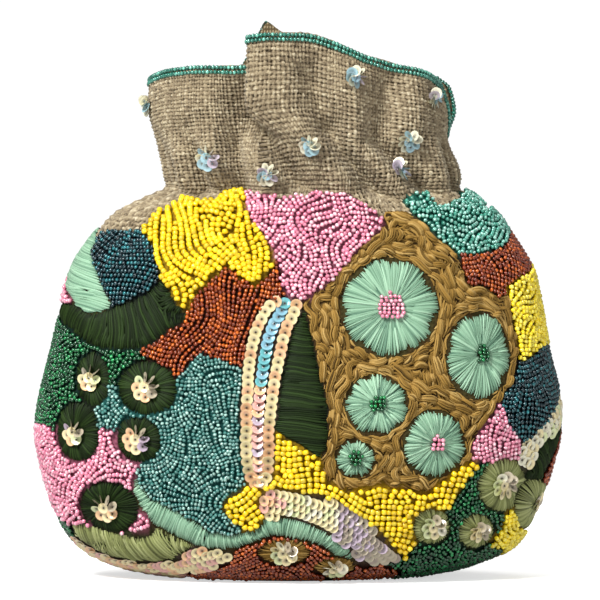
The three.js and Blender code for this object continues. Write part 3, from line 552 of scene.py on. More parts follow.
# Painted shade in the gaps: dark colours, tinted like each area's thread or beads, that stand for the
# shadow between them. bare is the painted shade between the jute threads.
ground_tones = {"yellow": "#8a6d10", "pink": "#8a4f60", "amber": "#2e1006", "teal": "#1b4c48",
                "emerald": "#08231b", "peacock": "#040d13", "seafoam": "#1a5548",
                "leaf": "#0c1409", "mint": "#3a3418", "olive": "#33371d", "bronze": "#38270f",
                "sequin": "#4b4036", "green": "#0c1409", "bare": "#3d3220"}
tone_of_work = np.array([linear(ground_tones["bare"])]
                        + [linear(ground_tones[n.split("_")[0]]) for n in works])
worked = work_at(fine_turns[None], heights)
stands_off, _ = on_skin(fine_turns[None], heights, 1.05, **stiff)
outer = np.where((worked > 0)[..., None], stands_off, cloth(fine_turns[None], fine_folds[None], heights))
inner = cloth(fine_turns[None], fine_folds[None], heights, inner=1)
count = len(fine_turns)
rings = np.concatenate([outer, inner[::-1]])
points = np.concatenate([rings.reshape(-1, 3), rings[:1].mean(1), rings[-1:].mean(1)])
around = np.arange(count)
foot, floor_in = len(points) - 2, len(points) - 1
fans = [np.stack([np.full(count, foot), (around + 1) % count, around], -1),
        np.stack([np.full(count, floor_in), (len(rings) - 1) * count + around,
                  (len(rings) - 1) * count + (around + 1) % count], -1)]
run = np.r_[0, np.cumsum(np.linalg.norm(np.diff(outer[30], axis=0), axis=1))]
threads_uv = np.stack([np.tile(run, len(rings)),
                       np.concatenate([heights, heights[::-1]]).ravel()], -1) * 0.001
threads_uv = np.vstack([threads_uv, [[0.2, 0]], [[0.2, 0]]])
# The outer face takes the painted gap shade; the inner face and the foot keep the woven colour
covered = np.concatenate([np.ones(outer.shape[:2]), np.zeros(inner.shape[:2])]).ravel()
covered = np.r_[np.where(points[:-2, 2] < 2.0, 0, covered), 0, 0]
ground = np.concatenate([tone_of_work[worked], tone_of_work[np.zeros(inner.shape[:2], int)]])
ground = np.vstack([ground.reshape(-1, 4), tone_of_work[:1], tone_of_work[:1]])

# Woven jute: coarse, dull and fibrous, and almost without gloss
jute_ground, tree, output = bare_material("jute_plain_weave_ground")
place = add(tree, "ShaderNodeUVMap", uv_map="along_threads")
# A wave texture repeats every 2 pi / 20 over its scale, here every 1.9 mm thread
wave_values = {"Scale": 2 * math.pi / 20 / 0.0019, "Distortion": 0.6, "Detail": 2.0}
warp = add(tree, "ShaderNodeTexWave", wave_values, {"Vector": place.outputs[0]}, bands_direction="X")
weft = add(tree, "ShaderNodeTexWave", wave_values, {"Vector": place.outputs[0]}, bands_direction="Y")
weave = add(tree, "ShaderNodeMath", links={0: warp.outputs["Fac"], 1: weft.outputs["Fac"]},
            operation="MULTIPLY")
fibre = add(tree, "ShaderNodeTexNoise", {"Scale": 1000 / 1.1, "Detail": 4.0})
straw = add(tree, "ShaderNodeMix", {6: linear("#8f7d5c"), 7: linear("#c8b895")},
            {0: fibre.outputs["Fac"]}, data_type="RGBA")
woven = add(tree, "ShaderNodeMix", {6: linear("#54462f")},
            {0: weave.outputs[0], 7: straw.outputs[2]}, data_type="RGBA")
# Painted shade: where the mask is set, the woven colour gives way to the painted gap shade
shaded = add(tree, "ShaderNodeAttribute", attribute_name="covered")
tint = add(tree, "ShaderNodeAttribute", attribute_name="ground")
seen_ground = add(tree, "ShaderNodeMix", {}, {0: shaded.outputs["Fac"], 6: woven.outputs[2],
                                              7: tint.outputs["Color"]}, data_type="RGBA")
ribs = add(tree, "ShaderNodeBump", {"Strength": 0.6, "Distance": 0.0006}, {"Height": weave.outputs[0]})
dull = add(tree, "ShaderNodeBsdfPrincipled", {"Roughness": 0.95, "Specular IOR Level": 0.2},
           {"Base Color": seen_ground.outputs[2], "Normal": ribs.outputs[0]})
tree.links.new(dull.outputs[0], output.inputs[0])
piece("jute_ground", points, [quads_between(len(rings), count), *fans], jute_ground, "jute",
      ["pouch_cloth"], uv=threads_uv, covered=covered, ground=ground)


# The jute threads: about 1.9 mm apart both ways, over one and under one. They are slack,
# uneven singles, so each is a little thicker or thinner and lighter or darker than the next.
def strand_strips(points, normals, first, half, rise, tone, sink=0.0, shade=0.22):
    """Half-round strips along rows of points. first marks the first point of each row. Their edges are
    painted darker by shade, a painted shade between neighbouring strands.
    """
    last = np.r_[first[1:], True]
    ahead, behind = np.roll(points, -1, 0), np.roll(points, 1, 0)
    ahead[last], behind[first] = points[last], points[first]
    side = unit(np.cross(normals, ahead - behind)) * np.reshape(half, (-1, 1))
    lift = normals * np.reshape(rise, (-1, 1))
    lower = normals * sink
    edges = np.stack([points - side - lower, points + lift, points + side - lower], 1)
    k = np.flatnonzero(~last)[:, None] * 3
    faces = np.concatenate([k + [0, 1, 4, 3], k + [1, 2, 5, 4]])
    # Painted shade: each strip's two edges are darker than its crown
    return edges.reshape(-1, 3), faces, np.stack([tone - shade, tone, tone - shade], 1).ravel()


def weave_threads(turns, folds_at, levels, shown, closed, seed):
    """Warp and weft over a net of columns and rows at half the threads' spacing."""
    random = np.random.default_rng(seed)
    net = cloth(turns[:, None], folds_at[:, None], levels)
    if closed:
        sideways = np.roll(net, -1, 0) - np.roll(net, 1, 0)
    else:
        sideways = np.gradient(net, axis=0)
    rising = np.gradient(net, axis=1)
    normals = unit(np.cross(sideways, rising))
    wide = np.linalg.norm(sideways, axis=-1)
    tall = np.linalg.norm(rising, axis=-1) * 2
    columns, rows = net.shape[:2]
    parity = np.where((np.arange(columns)[:, None] // 2 + np.arange(rows)[None] // 2) % 2, 1.0, -1.0)
    on_both = (np.arange(columns)[:, None] % 2 == 0) & (np.arange(rows)[None] % 2 == 0)
    over = np.where(on_both, parity, 0.0)
    verts, faces, tones, total = [], [], [], 0
    for warp_way in (True, False):
        if warp_way:
            pick = [(i, slice(None)) for i in range(0, columns, 2)]
        else:
            pick = [(slice(None), j) for j in range(0, rows, 2)]
        for at in pick:
            p, n, o, spacing = net[at], normals[at], over[at], (wide if warp_way else tall)[at]
            visible = shown[at].copy()
            if closed and not warp_way:
                p, n, o = np.vstack([p, p[:1]]), np.vstack([n, n[:1]]), np.r_[o, o[:1]]
                spacing, visible = np.r_[spacing, spacing[:1]], np.r_[visible, visible[:1]]
            keep = visible | np.r_[visible[1:], False] | np.r_[False, visible[:-1]]
            if keep.sum() < 3:
                continue
            slub = 1 + 0.16 * np.convolve(random.normal(size=len(p) + 8), np.ones(9) / 3, "valid")
            half = np.clip(0.4 * spacing, 0.3, 0.82) * np.clip(slub * random.uniform(0.9, 1.1), 0.7, 1.3)
            crossing = o if warp_way else -o
            half = half * (1 + 0.16 * crossing)
            lift = crossing * 0.42 + 0.45
            # Over-crossings are painted lighter and under-crossings darker, a painted light and shade on
            # the weave; the rest of the tone varies at random.
            tone = random.uniform(0.42, 0.62) + 0.2 * crossing + 0.1 * np.convolve(
                random.normal(size=len(p) + 4), np.ones(5) / 2.2, "valid")
            drift = np.cross(n, np.gradient(p, axis=0))
            drift = unit(drift) * (0.10 * np.convolve(random.normal(size=len(p) + 6), np.ones(7) / 2.6,
                                                      "valid"))[:, None]
            index = np.flatnonzero(keep)
            first = np.r_[True, np.diff(index) > 1]
            middle = (p + drift + n * lift[:, None])[index]
            v, f, t = strand_strips(middle, n[index], first, half[index], (0.5 * half + 0.12)[index],
                                    tone[index], sink=0.25, shade=0.4)
            verts.append(v)
            faces.append(f + total)
            tones.append(t)
            total += len(v)
    return np.vstack(verts), [np.vstack(faces)], np.concatenate(tones)


jute_thread, tree, output = bare_material("jute_spun_thread")
fibre = add(tree, "ShaderNodeTexNoise", {"Scale": 1000 / 0.6, "Detail": 5.0, "Roughness": 0.7})
cloud = add(tree, "ShaderNodeTexNoise", {"Scale": 1000 / 16, "Detail": 3.0})
own = add(tree, "ShaderNodeAttribute", attribute_name="tone")
mixed = add(tree, "ShaderNodeMath", {2: 0.0}, {0: fibre.outputs["Fac"], 1: own.outputs["Fac"]},
            operation="MULTIPLY_ADD")
tree.links.new(cloud.outputs["Fac"], mixed.inputs[2])
ramp = add(tree, "ShaderNodeValToRGB", links={"Fac": mixed.outputs[0]})
for at in (0.5, 0.75):
    ramp.color_ramp.elements.new(at)
for stop, at, code in zip(ramp.color_ramp.elements, (0.35, 0.62, 0.85, 1.0),
                          ("#493d29", "#86765c", "#ad9d7e", "#d2c6a8")):
    stop.position, stop.color = at, linear(code)
fuzz = add(tree, "ShaderNodeBump", {"Strength": 0.7, "Distance": 0.00025}, {"Height": fibre.outputs["Fac"]})
spun = add(tree, "ShaderNodeBsdfPrincipled",
           {"Roughness": 0.85, "Specular IOR Level": 0.3, "Sheen Weight": 0.15, "Sheen Roughness": 0.5},
           {"Base Color": ramp.outputs["Color"], "Normal": fuzz.outputs[0]})
tree.links.new(spun.outputs[0], output.inputs[0])

pleat_pitches, round_pitches = 36, 150
warp_turns, warp_folds = columns_round(2 * pleat_pitches + 1, 2 * round_pitches - 1, 165)
below = np.arange(38, 0, -1) * 0.95
warp_levels = np.hstack([np.repeat(gather_height - below[None], len(warp_turns), 0),
                         gather_height + np.linspace(0, 1, 67)[None]
                         * (mouth_height(warp_turns) - 0.4 - gather_height)[:, None]])
front_side = np.abs(wrapped(warp_turns))[:, None] < 97
shown = (work_at(warp_turns[:, None], warp_levels) == 0) & (front_side | (warp_levels > gather_height))
verts, faces, tones = weave_threads(warp_turns, warp_folds, warp_levels, shown, True, 5)
piece("jute_threads_neck", verts, faces, jute_thread, "jute", tone=tones)

back_turns = spaced(95.5, 264.5, 75, 2 * 118 + 1)
slope_heights = np.linspace(1.2, gather_height, 800)
slope = skin(np.full(800, 180.0), slope_heights, 1.0, 1.0)
slope_run = np.r_[0, np.cumsum(np.linalg.norm(np.diff(slope, axis=0), axis=1))]
back_heights = np.interp(np.linspace(0, slope_run[-1], 2 * 82 + 1), slope_run, slope_heights)
back_levels = np.repeat(back_heights[None], len(back_turns), 0)
verts, faces, tones = weave_threads(back_turns, np.full(len(back_turns), np.nan), back_levels,
                                    np.ones(back_levels.shape, bool), False, 6)
piece("jute_threads_back", verts, faces, jute_thread, "jute", tone=tones)


# The lining: a band of grey cotton inside the neck, slip-stitched under the jute hem. It
# hangs a little clear of the jute and passes straight behind the pleat.
def lining_ring(share, depth):
    z = gather_height + share * (mouth_height(fine_turns) - gather_height)
    near = wrapped(fine_turns - pleat_turn) / 13
    lapped = ease(z / gather_height, pleat_foot - 0.04, pleat_full - 0.04)
    behind = 1.8 * cloth_wall * lapped * np.exp(-near**4)
    ripple = 0.35 * np.sin(np.radians(fine_turns) * 23 + 6 * share) * np.sin(share * 9)
    return on_skin(fine_turns, z, ripple - depth - behind, 0.2, 1.0)[0]


lining_shares = np.linspace(0.24, 0.86, 22)
loops = np.array([lining_ring(s, 4.8) for s in lining_shares]
                 + [lining_ring(s, 5.8) for s in lining_shares[::-1]])
loops = np.concatenate([loops, loops[:1]])
lining_uv = np.stack([np.tile(run, len(loops)), np.repeat(np.arange(len(loops)) * 1.9, count)], -1) * 0.001
lining_cotton, tree, output = bare_material("grey_cotton_plain_weave")
place = add(tree, "ShaderNodeUVMap", uv_map="along_threads")
fine_wave = {"Scale": 2 * math.pi / 20 / 0.0009, "Distortion": 0.4}
warp = add(tree, "ShaderNodeTexWave", fine_wave, {"Vector": place.outputs[0]}, bands_direction="X")
weft = add(tree, "ShaderNodeTexWave", fine_wave, {"Vector": place.outputs[0]}, bands_direction="Y")
weave = add(tree, "ShaderNodeMath", links={0: warp.outputs["Fac"], 1: weft.outputs["Fac"]},
            operation="MULTIPLY")
cloud = add(tree, "ShaderNodeTexNoise", {"Scale": 1000 / 12.5, "Detail": 4.0})
mixed = add(tree, "ShaderNodeMath", {2: 0.2}, {0: weave.outputs[0], 1: cloud.outputs["Fac"]},
            operation="MULTIPLY_ADD")
grey = add(tree, "ShaderNodeMix", {6: linear("#6f6a62"), 7: linear("#a39c92")},
           {0: mixed.outputs[0]}, data_type="RGBA")
ribs = add(tree, "ShaderNodeBump", {"Strength": 0.3, "Distance": 0.0003}, {"Height": weave.outputs[0]})
cotton = add(tree, "ShaderNodeBsdfPrincipled", {"Roughness": 0.75, "Sheen Weight": 0.2},
             {"Base Color": grey.outputs[2], "Normal": ribs.outputs[0]})
tree.links.new(cotton.outputs[0], output.inputs[0])
piece("neck_lining", loops[:-1].reshape(-1, 3),
      [quads_between(len(loops), count) % ((len(loops) - 1) * count)],
      lining_cotton, "lining", ["lining"], uv=lining_uv[:-count])


# Seed beads: short lengths of drawn glass tube, tumbled round. Each is painted brighter on the side facing
# out from the cloth and deeper at its edges, a painted glint; on beads with a silver or coloured lining it
# stands also for the lining's bright core.
def seed_beads(centres, along, normals, radius, length, profile, sides, seed):
    """Beads turned from a profile of (place along, radius) shares, with their holes along.
    It gives the points, the faces, each bead's own tone, and a painted glint that is strongest on the side
    facing out from the cloth and random in strength from bead to bead; on lined beads it stands also for
    the lining's bright core."""
    random = np.random.default_rng(seed)
    total = len(centres)
    profile = np.array(profile)
    axis = unit(along + 0.13 * random.normal(size=(total, 3)))
    up = unit(normals - axis * np.sum(normals * axis, 1, keepdims=True))
    flank = np.cross(axis, up)
    size = radius * random.uniform(0.92, 1.07, (total, 1, 1, 1))
    angle = np.arange(sides) * 2 * math.pi / sides
    spoke = (np.cos(angle)[None, :, None] * up[:, None] + np.sin(angle)[None, :, None] * flank[:, None])
    ring = profile[None, :, None, 1:2] * spoke[:, None] * size
    shift = (profile[:, 0] * length / 2)[None, :, None, None] * axis[:, None, None]
    shift = shift * random.uniform(0.85, 1.1, (total, 1, 1, 1))
    verts = centres[:, None, None] + ring + shift
    # Painted glint: points facing out from the cloth get the bright colour, random in strength per bead
    facing = np.sum(spoke * normals[:, None], -1)
    core = np.clip(facing, 0, 1)[:, None] ** 1.5 * (1 - np.abs(profile[:, 0]) ** 3 * 0.75)[None, :, None]
    core = core * (0.08 + 0.92 * random.random((total, 1, 1)) ** 2.2)
    per = len(profile) * sides
    base = (np.arange(total) * per)[:, None, None]
    disc = np.arange(sides)
    faces = [(base + quads_between(len(profile), sides)[None, :, ::-1]).reshape(-1, 4),
             np.concatenate([base[:, 0] + disc, base[:, 0] + (per - 1 - disc)])]
    tone = np.repeat(random.uniform(0, 1, total), per)
    return verts.reshape(-1, 3), faces, tone, core.reshape(-1)


def joined(parts):
    """Several groups of beads as one: points, faces by their number of corners, and layers."""
    shift, verts, faces, layers = 0, [], {}, []
    for points_here, faces_here, *rest in parts:
        verts.append(points_here)
        for f in faces_here:
            faces.setdefault(f.shape[1], []).append(f + shift)
        layers.append(rest)
        shift += len(points_here)
    return (np.vstack(verts), [np.vstack(f) for f in faces.values()],
            *[np.concatenate(layer) for layer in zip(*layers)])


def bead_glass(name, deep, bright, roughness, shine=0.5, metal=0.0):
    """Drawn glass: deep at its edges and bright where its painted glint and lined core are, smooth enough
    to glint.
    """
    material, tree, output = bare_material(name)
    own = add(tree, "ShaderNodeAttribute", attribute_name="tone")
    core = add(tree, "ShaderNodeAttribute", attribute_name="core")
    melt = add(tree, "ShaderNodeTexNoise", {"Scale": 1000 / 1.4, "Detail": 2.0})
    streak = add(tree, "ShaderNodeMath", {1: 0.25, 2: -0.12}, {0: melt.outputs["Fac"]},
                 operation="MULTIPLY_ADD")
    weight = add(tree, "ShaderNodeMath", links={0: core.outputs["Fac"], 1: streak.outputs[0]},
                 operation="ADD", use_clamp=True)
    body = add(tree, "ShaderNodeMix", {6: linear(deep), 7: linear(bright)},
               {0: weight.outputs[0]}, data_type="RGBA")
    spread = add(tree, "ShaderNodeMath", {1: 0.5, 2: 0.75}, {0: own.outputs["Fac"]},
                 operation="MULTIPLY_ADD")
    varied = add(tree, "ShaderNodeHueSaturation",
                 links={"Color": body.outputs[2], "Value": spread.outputs[0]})
    glass = add(tree, "ShaderNodeBsdfPrincipled",
                {"Roughness": roughness, "IOR": 1.52, "Metallic": metal, "Coat Weight": shine,
                 "Coat Roughness": 0.06}, {"Base Color": varied.outputs[0]})
    tree.links.new(glass.outputs[0], output.inputs[0])
    return material


round_profile = [(-1, 0.55), (0, 1), (1, 0.55)]
full_profile = [(-1, 0.5), (-0.62, 0.93), (0.62, 0.93), (1, 0.5)]


def beads_on_rows(rows, radius, length, seed, base=1.25, profile=round_profile, sides=8, jitter=0.1):
    """Beads whose centres are the rows' points and whose holes run along the rows."""
    random = np.random.default_rng(seed)
    turns = np.concatenate([r[:, 0] for r in rows])
    levels = np.concatenate([r[:, 1] for r in rows])
    centres, normals = on_skin(turns, levels, base + radius, **stiff)
    ends = np.cumsum([len(r) for r in rows])
    first = np.zeros(len(turns), bool)
    first[np.r_[0, ends[:-1]]] = True
    last = np.r_[first[1:], True]
    ahead, behind = np.roll(centres, -1, 0), np.roll(centres, 1, 0)
    ahead[last], behind[first] = centres[last], centres[first]
    along = ahead - behind
    lone = np.linalg.norm(along, axis=1) < 1e-6
    along[lone] = np.cross(normals[lone], random.normal(size=(lone.sum(), 3)))
    centres = centres + random.normal(size=centres.shape) * jitter
    return seed_beads(centres, unit(along), normals, radius, length, profile, sides, seed)


# The mouth's edging: two rows of green silver-lined beads whipped over the edge, from the
# front fold of the pleat's lap right round to where they slip under it.
front_lap, back_lap = np.linspace(7.3, pleat_rows, 80), np.linspace(0, 1.9, 30)
edging_folds = np.r_[front_lap, np.full(900, np.nan), back_lap]
edging_turns = np.r_[pleat_turns(front_lap),
                     spaced(pleat_turns(pleat_rows), pleat_turns(0) + 360, 195, 902)[1:-1],
                     pleat_turns(back_lap)]
parts = []
for row_number, (down, out) in enumerate(((0.5, 1.0), (2.3, 1.15))):
    lie = cloth(edging_turns, edging_folds, mouth_height(edging_turns) - down)
    deeper = cloth(edging_turns, edging_folds, mouth_height(edging_turns) - down - 1)
    facing = unit(np.cross(np.gradient(lie, axis=0), lie - deeper))
    lie = lie + facing * out
    run_edge = np.r_[0, np.cumsum(np.linalg.norm(np.diff(lie, axis=0), axis=1))]
    at = np.arange(0.8, run_edge[-1], 1.55)
    centres = np.stack([np.interp(at, run_edge, lie[:, k]) for k in range(3)], -1)
    normals = unit(np.stack([np.interp(at, run_edge, facing[:, k]) for k in range(3)], -1))
    parts.append(seed_beads(centres, unit(np.gradient(centres, axis=0)), normals, 0.98, 1.5,
                            round_profile, 8, 40 + row_number))
edging_green = bead_glass("sea_green_silver_lined_glass", "#14604f", "#8fe0c8", 0.14, 0.6, 0.15)
verts, faces, tones, cores = joined(parts)
piece("rim_beads", verts, faces, edging_green, "rim_green", ["rim_edging"], tone=tones, core=cores)


# Areas filled with seed beads, couched in rows. Each is given by its name in the part, how
# its rows run (degrees from level, or None to follow its outline), and how far they wander.
def fill_with_beads(name, slot, areas, material, radius, length, gap, step, extra=(), **bead):
    parts = list(extra)
    for area, angle, stray in areas:
        number = works.index(area) + 1
        seed = 100 + number
        if angle is None:
            line = line_across(number, 1.5) + math.pi / 2 + wander(seed, 22, stray)
        else:
            line = math.radians(angle) + wander(seed, 26, stray)
        rows = lay_rows(number, line, gap, step, seed=seed, margin=gap * 0.25, fill=0.84)
        parts.append(beads_on_rows(rows, radius, length, seed, **bead))
    verts, faces, tones, cores = joined(parts)
    return piece(name, verts, faces, material, slot, [a for a, _, _ in areas], tone=tones, core=cores)


def bead_cluster(area, radius, length, reach, seed, tall=1.0, base=2.3):
    """A flower's centre: beads set close on top of the stitches."""
    number = works.index(area) + 1
    i, j = np.argwhere(labels == number).mean(0).round().astype(int)
    random = np.random.default_rng(seed)
    places = []
    for a in np.arange(-reach * tall, reach * tall + 0.1, radius * 1.65):
        for b in np.arange(-reach, reach + 0.1, radius * 1.9):
            shift = radius * 0.9 * (int(round(a / radius)) % 2)
            if (b + shift) ** 2 + (a / tall) ** 2 < reach**2:
                places.append((sheet_turns[i] + (b + shift) / turn_size[i, j],
                               sheet_heights[j] + a / height_size[i, j]))
    places = np.array(places)
    centres, normals = on_skin(places[:, 0], places[:, 1], base + radius, **stiff)
    centres = centres + random.normal(size=centres.shape) * 0.15
    along = np.cross(normals, random.normal(size=normals.shape))
    return seed_beads(centres, unit(along), normals, radius, length, round_profile, 8, seed)


# Yellow: opaque glass beads, 2.6 mm across and 2.2 mm at the right, cut from drawn tube and
# couched in short rows that change direction.
# Opaque beads have no lining, so their brighter colour is a painted highlight only
yellow_glass = bead_glass("opaque_yellow_glass", "#e9c107", "#fdec38", 0.16, 0.5)
small_yellow_glass = bead_glass("opaque_lemon_glass", "#fadf22", "#fffb80", 0.16, 0.5)
fill_with_beads("yellow_bead_rows", "yellow", [
    ("yellow_beads_upper", -58, 0.45), ("yellow_beads_lower", 88, 0.5)],
    yellow_glass, 1.3, 2.1, 2.3, 2.2, profile=full_profile, sides=10)
fill_with_beads("yellow_small_bead_rows", "yellow", [
    ("yellow_beads_right", 80, 0.7), ("yellow_beads_base_right", 20, 0.8)],
    small_yellow_glass, 1.08, 1.7, 1.85, 1.75, profile=full_profile, sides=8)

# Pink: clear glass beads of about 2.1 mm with a pink colour lining; their white glints are painted
# highlights. They also make the centres of two flowers.
pink_glass = bead_glass("clear_glass_lined_in_pink", "#dc7d98", "#fff0f2", 0.12, 0.7)
fill_with_beads("pink_bead_rows", "pink", [
    ("pink_beads_left", None, 0.5), ("pink_beads_upper", 78, 0.7),
    ("pink_beads_edge_left", 75, 0.3), ("pink_beads_right", 80, 0.5)],
    pink_glass, 1.04, 1.6, 1.72, 1.62,
    extra=[bead_cluster("mint_flower_1", 0.95, 1.5, 5.6, 61),
           bead_cluster("mint_flower_4", 0.95, 1.5, 3.2, 62)])

# Amber, teal, emerald, peacock and seafoam: silver-lined or colour-lined glass beads of 1.7
# to 2 mm, couched in rows at a set angle or along the area's outline. Emerald beads also make
# the centres of three flowers.
amber_glass = bead_glass("amber_silver_lined_glass", "#6c2005", "#f27a1c", 0.14, 0.6, 0.1)
fill_with_beads("amber_bead_rows", "amber", [
    ("amber_beads_centre", 82, 0.3), ("amber_beads_right", 78, 0.3),
    ("amber_beads_edge_right", 60, 0.3), ("amber_beads_base", 10, 0.6)],
    amber_glass, 0.86, 1.75, 1.5, 1.75)

teal_glass = bead_glass("aqua_lined_glass", "#276b64", "#c3e8da", 0.12, 0.6)
fill_with_beads("teal_bead_rows", "teal", [("teal_beads_centre", None, 0.35)],
                teal_glass, 0.92, 1.3, 1.6, 1.45)

emerald_glass = bead_glass("emerald_silver_lined_glass", "#03341a", "#22ad5c", 0.13, 0.6, 0.1)
fill_with_beads("emerald_bead_rows", "emerald", [
    ("emerald_beads_left", None, 0.8), ("emerald_beads_base_left", None, 0.3),
    ("emerald_beads_right", None, 0.7)],
    emerald_glass, 0.86, 1.7, 1.5, 1.75,
    extra=[bead_cluster("mint_flower_2", 0.9, 1.4, 3.0, 63, tall=1.45),
           bead_cluster("mint_flower_3", 0.9, 1.4, 3.6, 64),
           bead_cluster("mint_flower_5", 0.9, 1.4, 3.3, 65)])

peacock_glass = bead_glass("peacock_blue_lined_glass", "#031720", "#2c8d93", 0.13, 0.6, 0.15)
fill_with_beads("peacock_bead_rows", "peacock", [
    ("peacock_beads_left", 68, 0.3), ("peacock_beads_right", 84, 0.25)],
    peacock_glass, 0.86, 1.75, 1.48, 1.8)

seafoam_glass = bead_glass("seafoam_silver_lined_glass", "#2f8a74", "#d6fff2", 0.12, 0.7, 0.1)
fill_with_beads("seafoam_bead_rows", "seafoam", [("seafoam_beads_right", None, 0.8)],
                seafoam_glass, 0.98, 1.5, 1.62, 1.5)


# Satin stitch: stranded cotton laid side by side from edge to edge of an area, or from the
# centre of a round to its edge. The strands pad up and lie slightly uneven.
def strand_lines(lines, half, rise, seed, base=1.15, pad=1.0, uneven=0.12, sink=0.12, crown=None):
    """Strips for lines of turns and heights, low at both ends and padded between."""
    random = np.random.default_rng(seed)
    turns = np.concatenate([line[:, 0] for line in lines])
    levels = np.concatenate([line[:, 1] for line in lines])
    share = np.concatenate([np.linspace(0, 1, len(line)) for line in lines])
    each = np.repeat(np.arange(len(lines)), [len(line) for line in lines])
    own = random.normal(size=len(lines))
    out = base + pad * np.clip(4 * share * (1 - share), 0, 1) ** 0.45 + uneven * own[each]
    if crown is not None:
        out = out + np.asarray(crown)[each] * np.clip(5 * share * (1 - share), 0, 1)
    places, normals = on_skin(turns, levels, out, **stiff)
    first = np.r_[True, np.diff(each) > 0]
    width = half * random.uniform(0.8, 1.2, len(lines))[each] * (0.55 + 0.45 * np.sqrt(
        np.clip(6 * share * (1 - share), 0, 1)))
    # Strands that lie higher are painted lighter, a painted light on the raised strands; the rest of the
    # tone varies at random.
    tone = random.uniform(0, 1, len(lines))[each] * 0.6 + 0.4 * np.clip(0.5 + 0.35 * own[each], 0, 1)
    v, f, t = strand_strips(places, normals, first, width, np.full(len(places), rise), tone, sink)
    return v, [f], t


def satin_area(area, gap=0.74, reach=5.0, stray=0.08, step=1.6, turned=0.0, angle=None):
    """The strands across one area, which follow its width or one angle."""
    number = works.index(area) + 1
    line = line_across(number, reach) + turned if angle is None else math.radians(angle)
    line = line + wander(300 + number, 9, stray)
    rows = lay_rows(number, line, gap, step, close=0.62, seed=number)
    return [r for r in rows if len(r) > 1]


def satin_round(area, heart, gap=0.72, ragged=0.35, lobed=0.0):
    """Strands that radiate from the heart of a round to its outline."""
    number = works.index(area) + 1
    random = np.random.default_rng(1 + number)
    i, j = np.argwhere(labels == number).mean(0).round().astype(int)
    t0, z0, lines = sheet_turns[i], sheet_heights[j], []
    size = math.sqrt((labels == number).sum() * turn_step * turn_size[i, j] * height_step
                     * height_size[i, j] / math.pi)
    count_round = int(2 * math.pi * size / gap)
    lobes, turned = random.integers(5, 8), random.uniform(0, 2 * math.pi)
    for k in range(count_round):
        way = 2 * math.pi * (k + random.uniform(-0.3, 0.3)) / count_round
        turn, z, line, gone = t0, z0, [], 0.0
        start = heart if k % 2 else heart + 0.32 * (size - heart)
        notch = lobed * size * abs(math.sin(lobes * way / 2 + turned)) ** 4
        while gone < 60:
            a, b = spot(turn, z)
            if labels[a, b] != number and gone > heart:
                break
            if gone >= start:
                line.append((turn, z))
            turn += 0.8 * math.cos(way) / turn_size[a, b]
            z += 0.8 * math.sin(way) / height_size[a, b]
            gone += 0.8
        drop = int((abs(random.normal()) * ragged + notch) / 0.8)
        line = line[:len(line) - drop]
        if len(line) > 2:
            keep = np.unique(np.linspace(0, len(line) - 1, max(3, len(line) // 2 + 1)).astype(int))
            lines.append(np.array(line)[keep])
    return lines


def stranded_cotton(name, low, middle, high, roughness=0.5, sheen=0.15, gloss=0.3):
    """Mercerised cotton: a soft lustre, and fine twist showing as lighter and darker lines."""
    material, tree, output = bare_material(name)
    own = add(tree, "ShaderNodeAttribute", attribute_name="tone")
    twist = add(tree, "ShaderNodeTexNoise", {"Scale": 1000 / 0.8, "Detail": 3.0})
    mixed = add(tree, "ShaderNodeMath", {1: 0.35}, {0: twist.outputs["Fac"], 2: own.outputs["Fac"]},
                operation="MULTIPLY_ADD")
    ramp = add(tree, "ShaderNodeValToRGB", links={"Fac": mixed.outputs[0]})
    ramp.color_ramp.elements.new(0.6)
    for stop, at, code in zip(ramp.color_ramp.elements, (0.1, 0.6, 1.0), (low, middle, high)):
        stop.position, stop.color = at, linear(code)
    nap = add(tree, "ShaderNodeBump", {"Strength": 0.4, "Distance": 0.0001},
              {"Height": twist.outputs["Fac"]})
    cotton = add(tree, "ShaderNodeBsdfPrincipled",
                 {"Roughness": roughness, "Sheen Weight": sheen, "Sheen Roughness": 0.4,
                  "Specular IOR Level": gloss}, {"Base Color": ramp.outputs["Color"],
                                               "Normal": nap.outputs[0]})
    tree.links.new(cotton.outputs[0], output.inputs[0])
    return material


def stitched(name, slot, material, areas, groups):
    verts, faces, tones = joined(groups)
    return piece(name, verts, faces, material, slot, areas, tone=tones)


leaf_cotton = stranded_cotton("forest_green_cotton_floss", "#0a1204", "#17250a", "#2b3e19", 0.55, 0.0, 0.12)
green_rounds = [f"green_round_{k}" for k in range(1, 6)]
stitched("leaf_green_stitches", "leaf", leaf_cotton,
         ["leaf_stitch_left", "leaf_stitch_right", "leaf_stitch_centre", *green_rounds],
         [strand_lines(satin_area("leaf_stitch_left"), 0.42, 0.34, 21, pad=0.8),
          strand_lines(satin_area("leaf_stitch_right"), 0.42, 0.34, 22, pad=0.8),
          strand_lines(satin_area("leaf_stitch_centre", angle=-6), 0.42, 0.34, 23, pad=0.8),
          *[strand_lines(satin_round(r, 1.2), 0.4, 0.32, 24 + k, pad=0.8)
            for k, r in enumerate(green_rounds)]])

mint_cotton = stranded_cotton("mint_cotton_floss", "#456e59", "#83aa8c", "#a4caab")
flowers = [f"mint_flower_{k}" for k in range(1, 6)]
stitched("mint_stitches", "mint", mint_cotton, ["mint_leaf_stitch_left", "mint_stitch_arc", *flowers],
         [strand_lines(satin_area("mint_leaf_stitch_left", angle=-8), 0.42, 0.34, 31, pad=1.0),
          strand_lines(satin_area("mint_stitch_arc"), 0.42, 0.34, 32, pad=1.0),
          *[strand_lines(satin_round(r, 1.6, ragged=0.7, lobed=0.1), 0.42, 0.36, 33 + k, pad=1.1,
                         uneven=0.2)
            for k, r in enumerate(flowers)]])

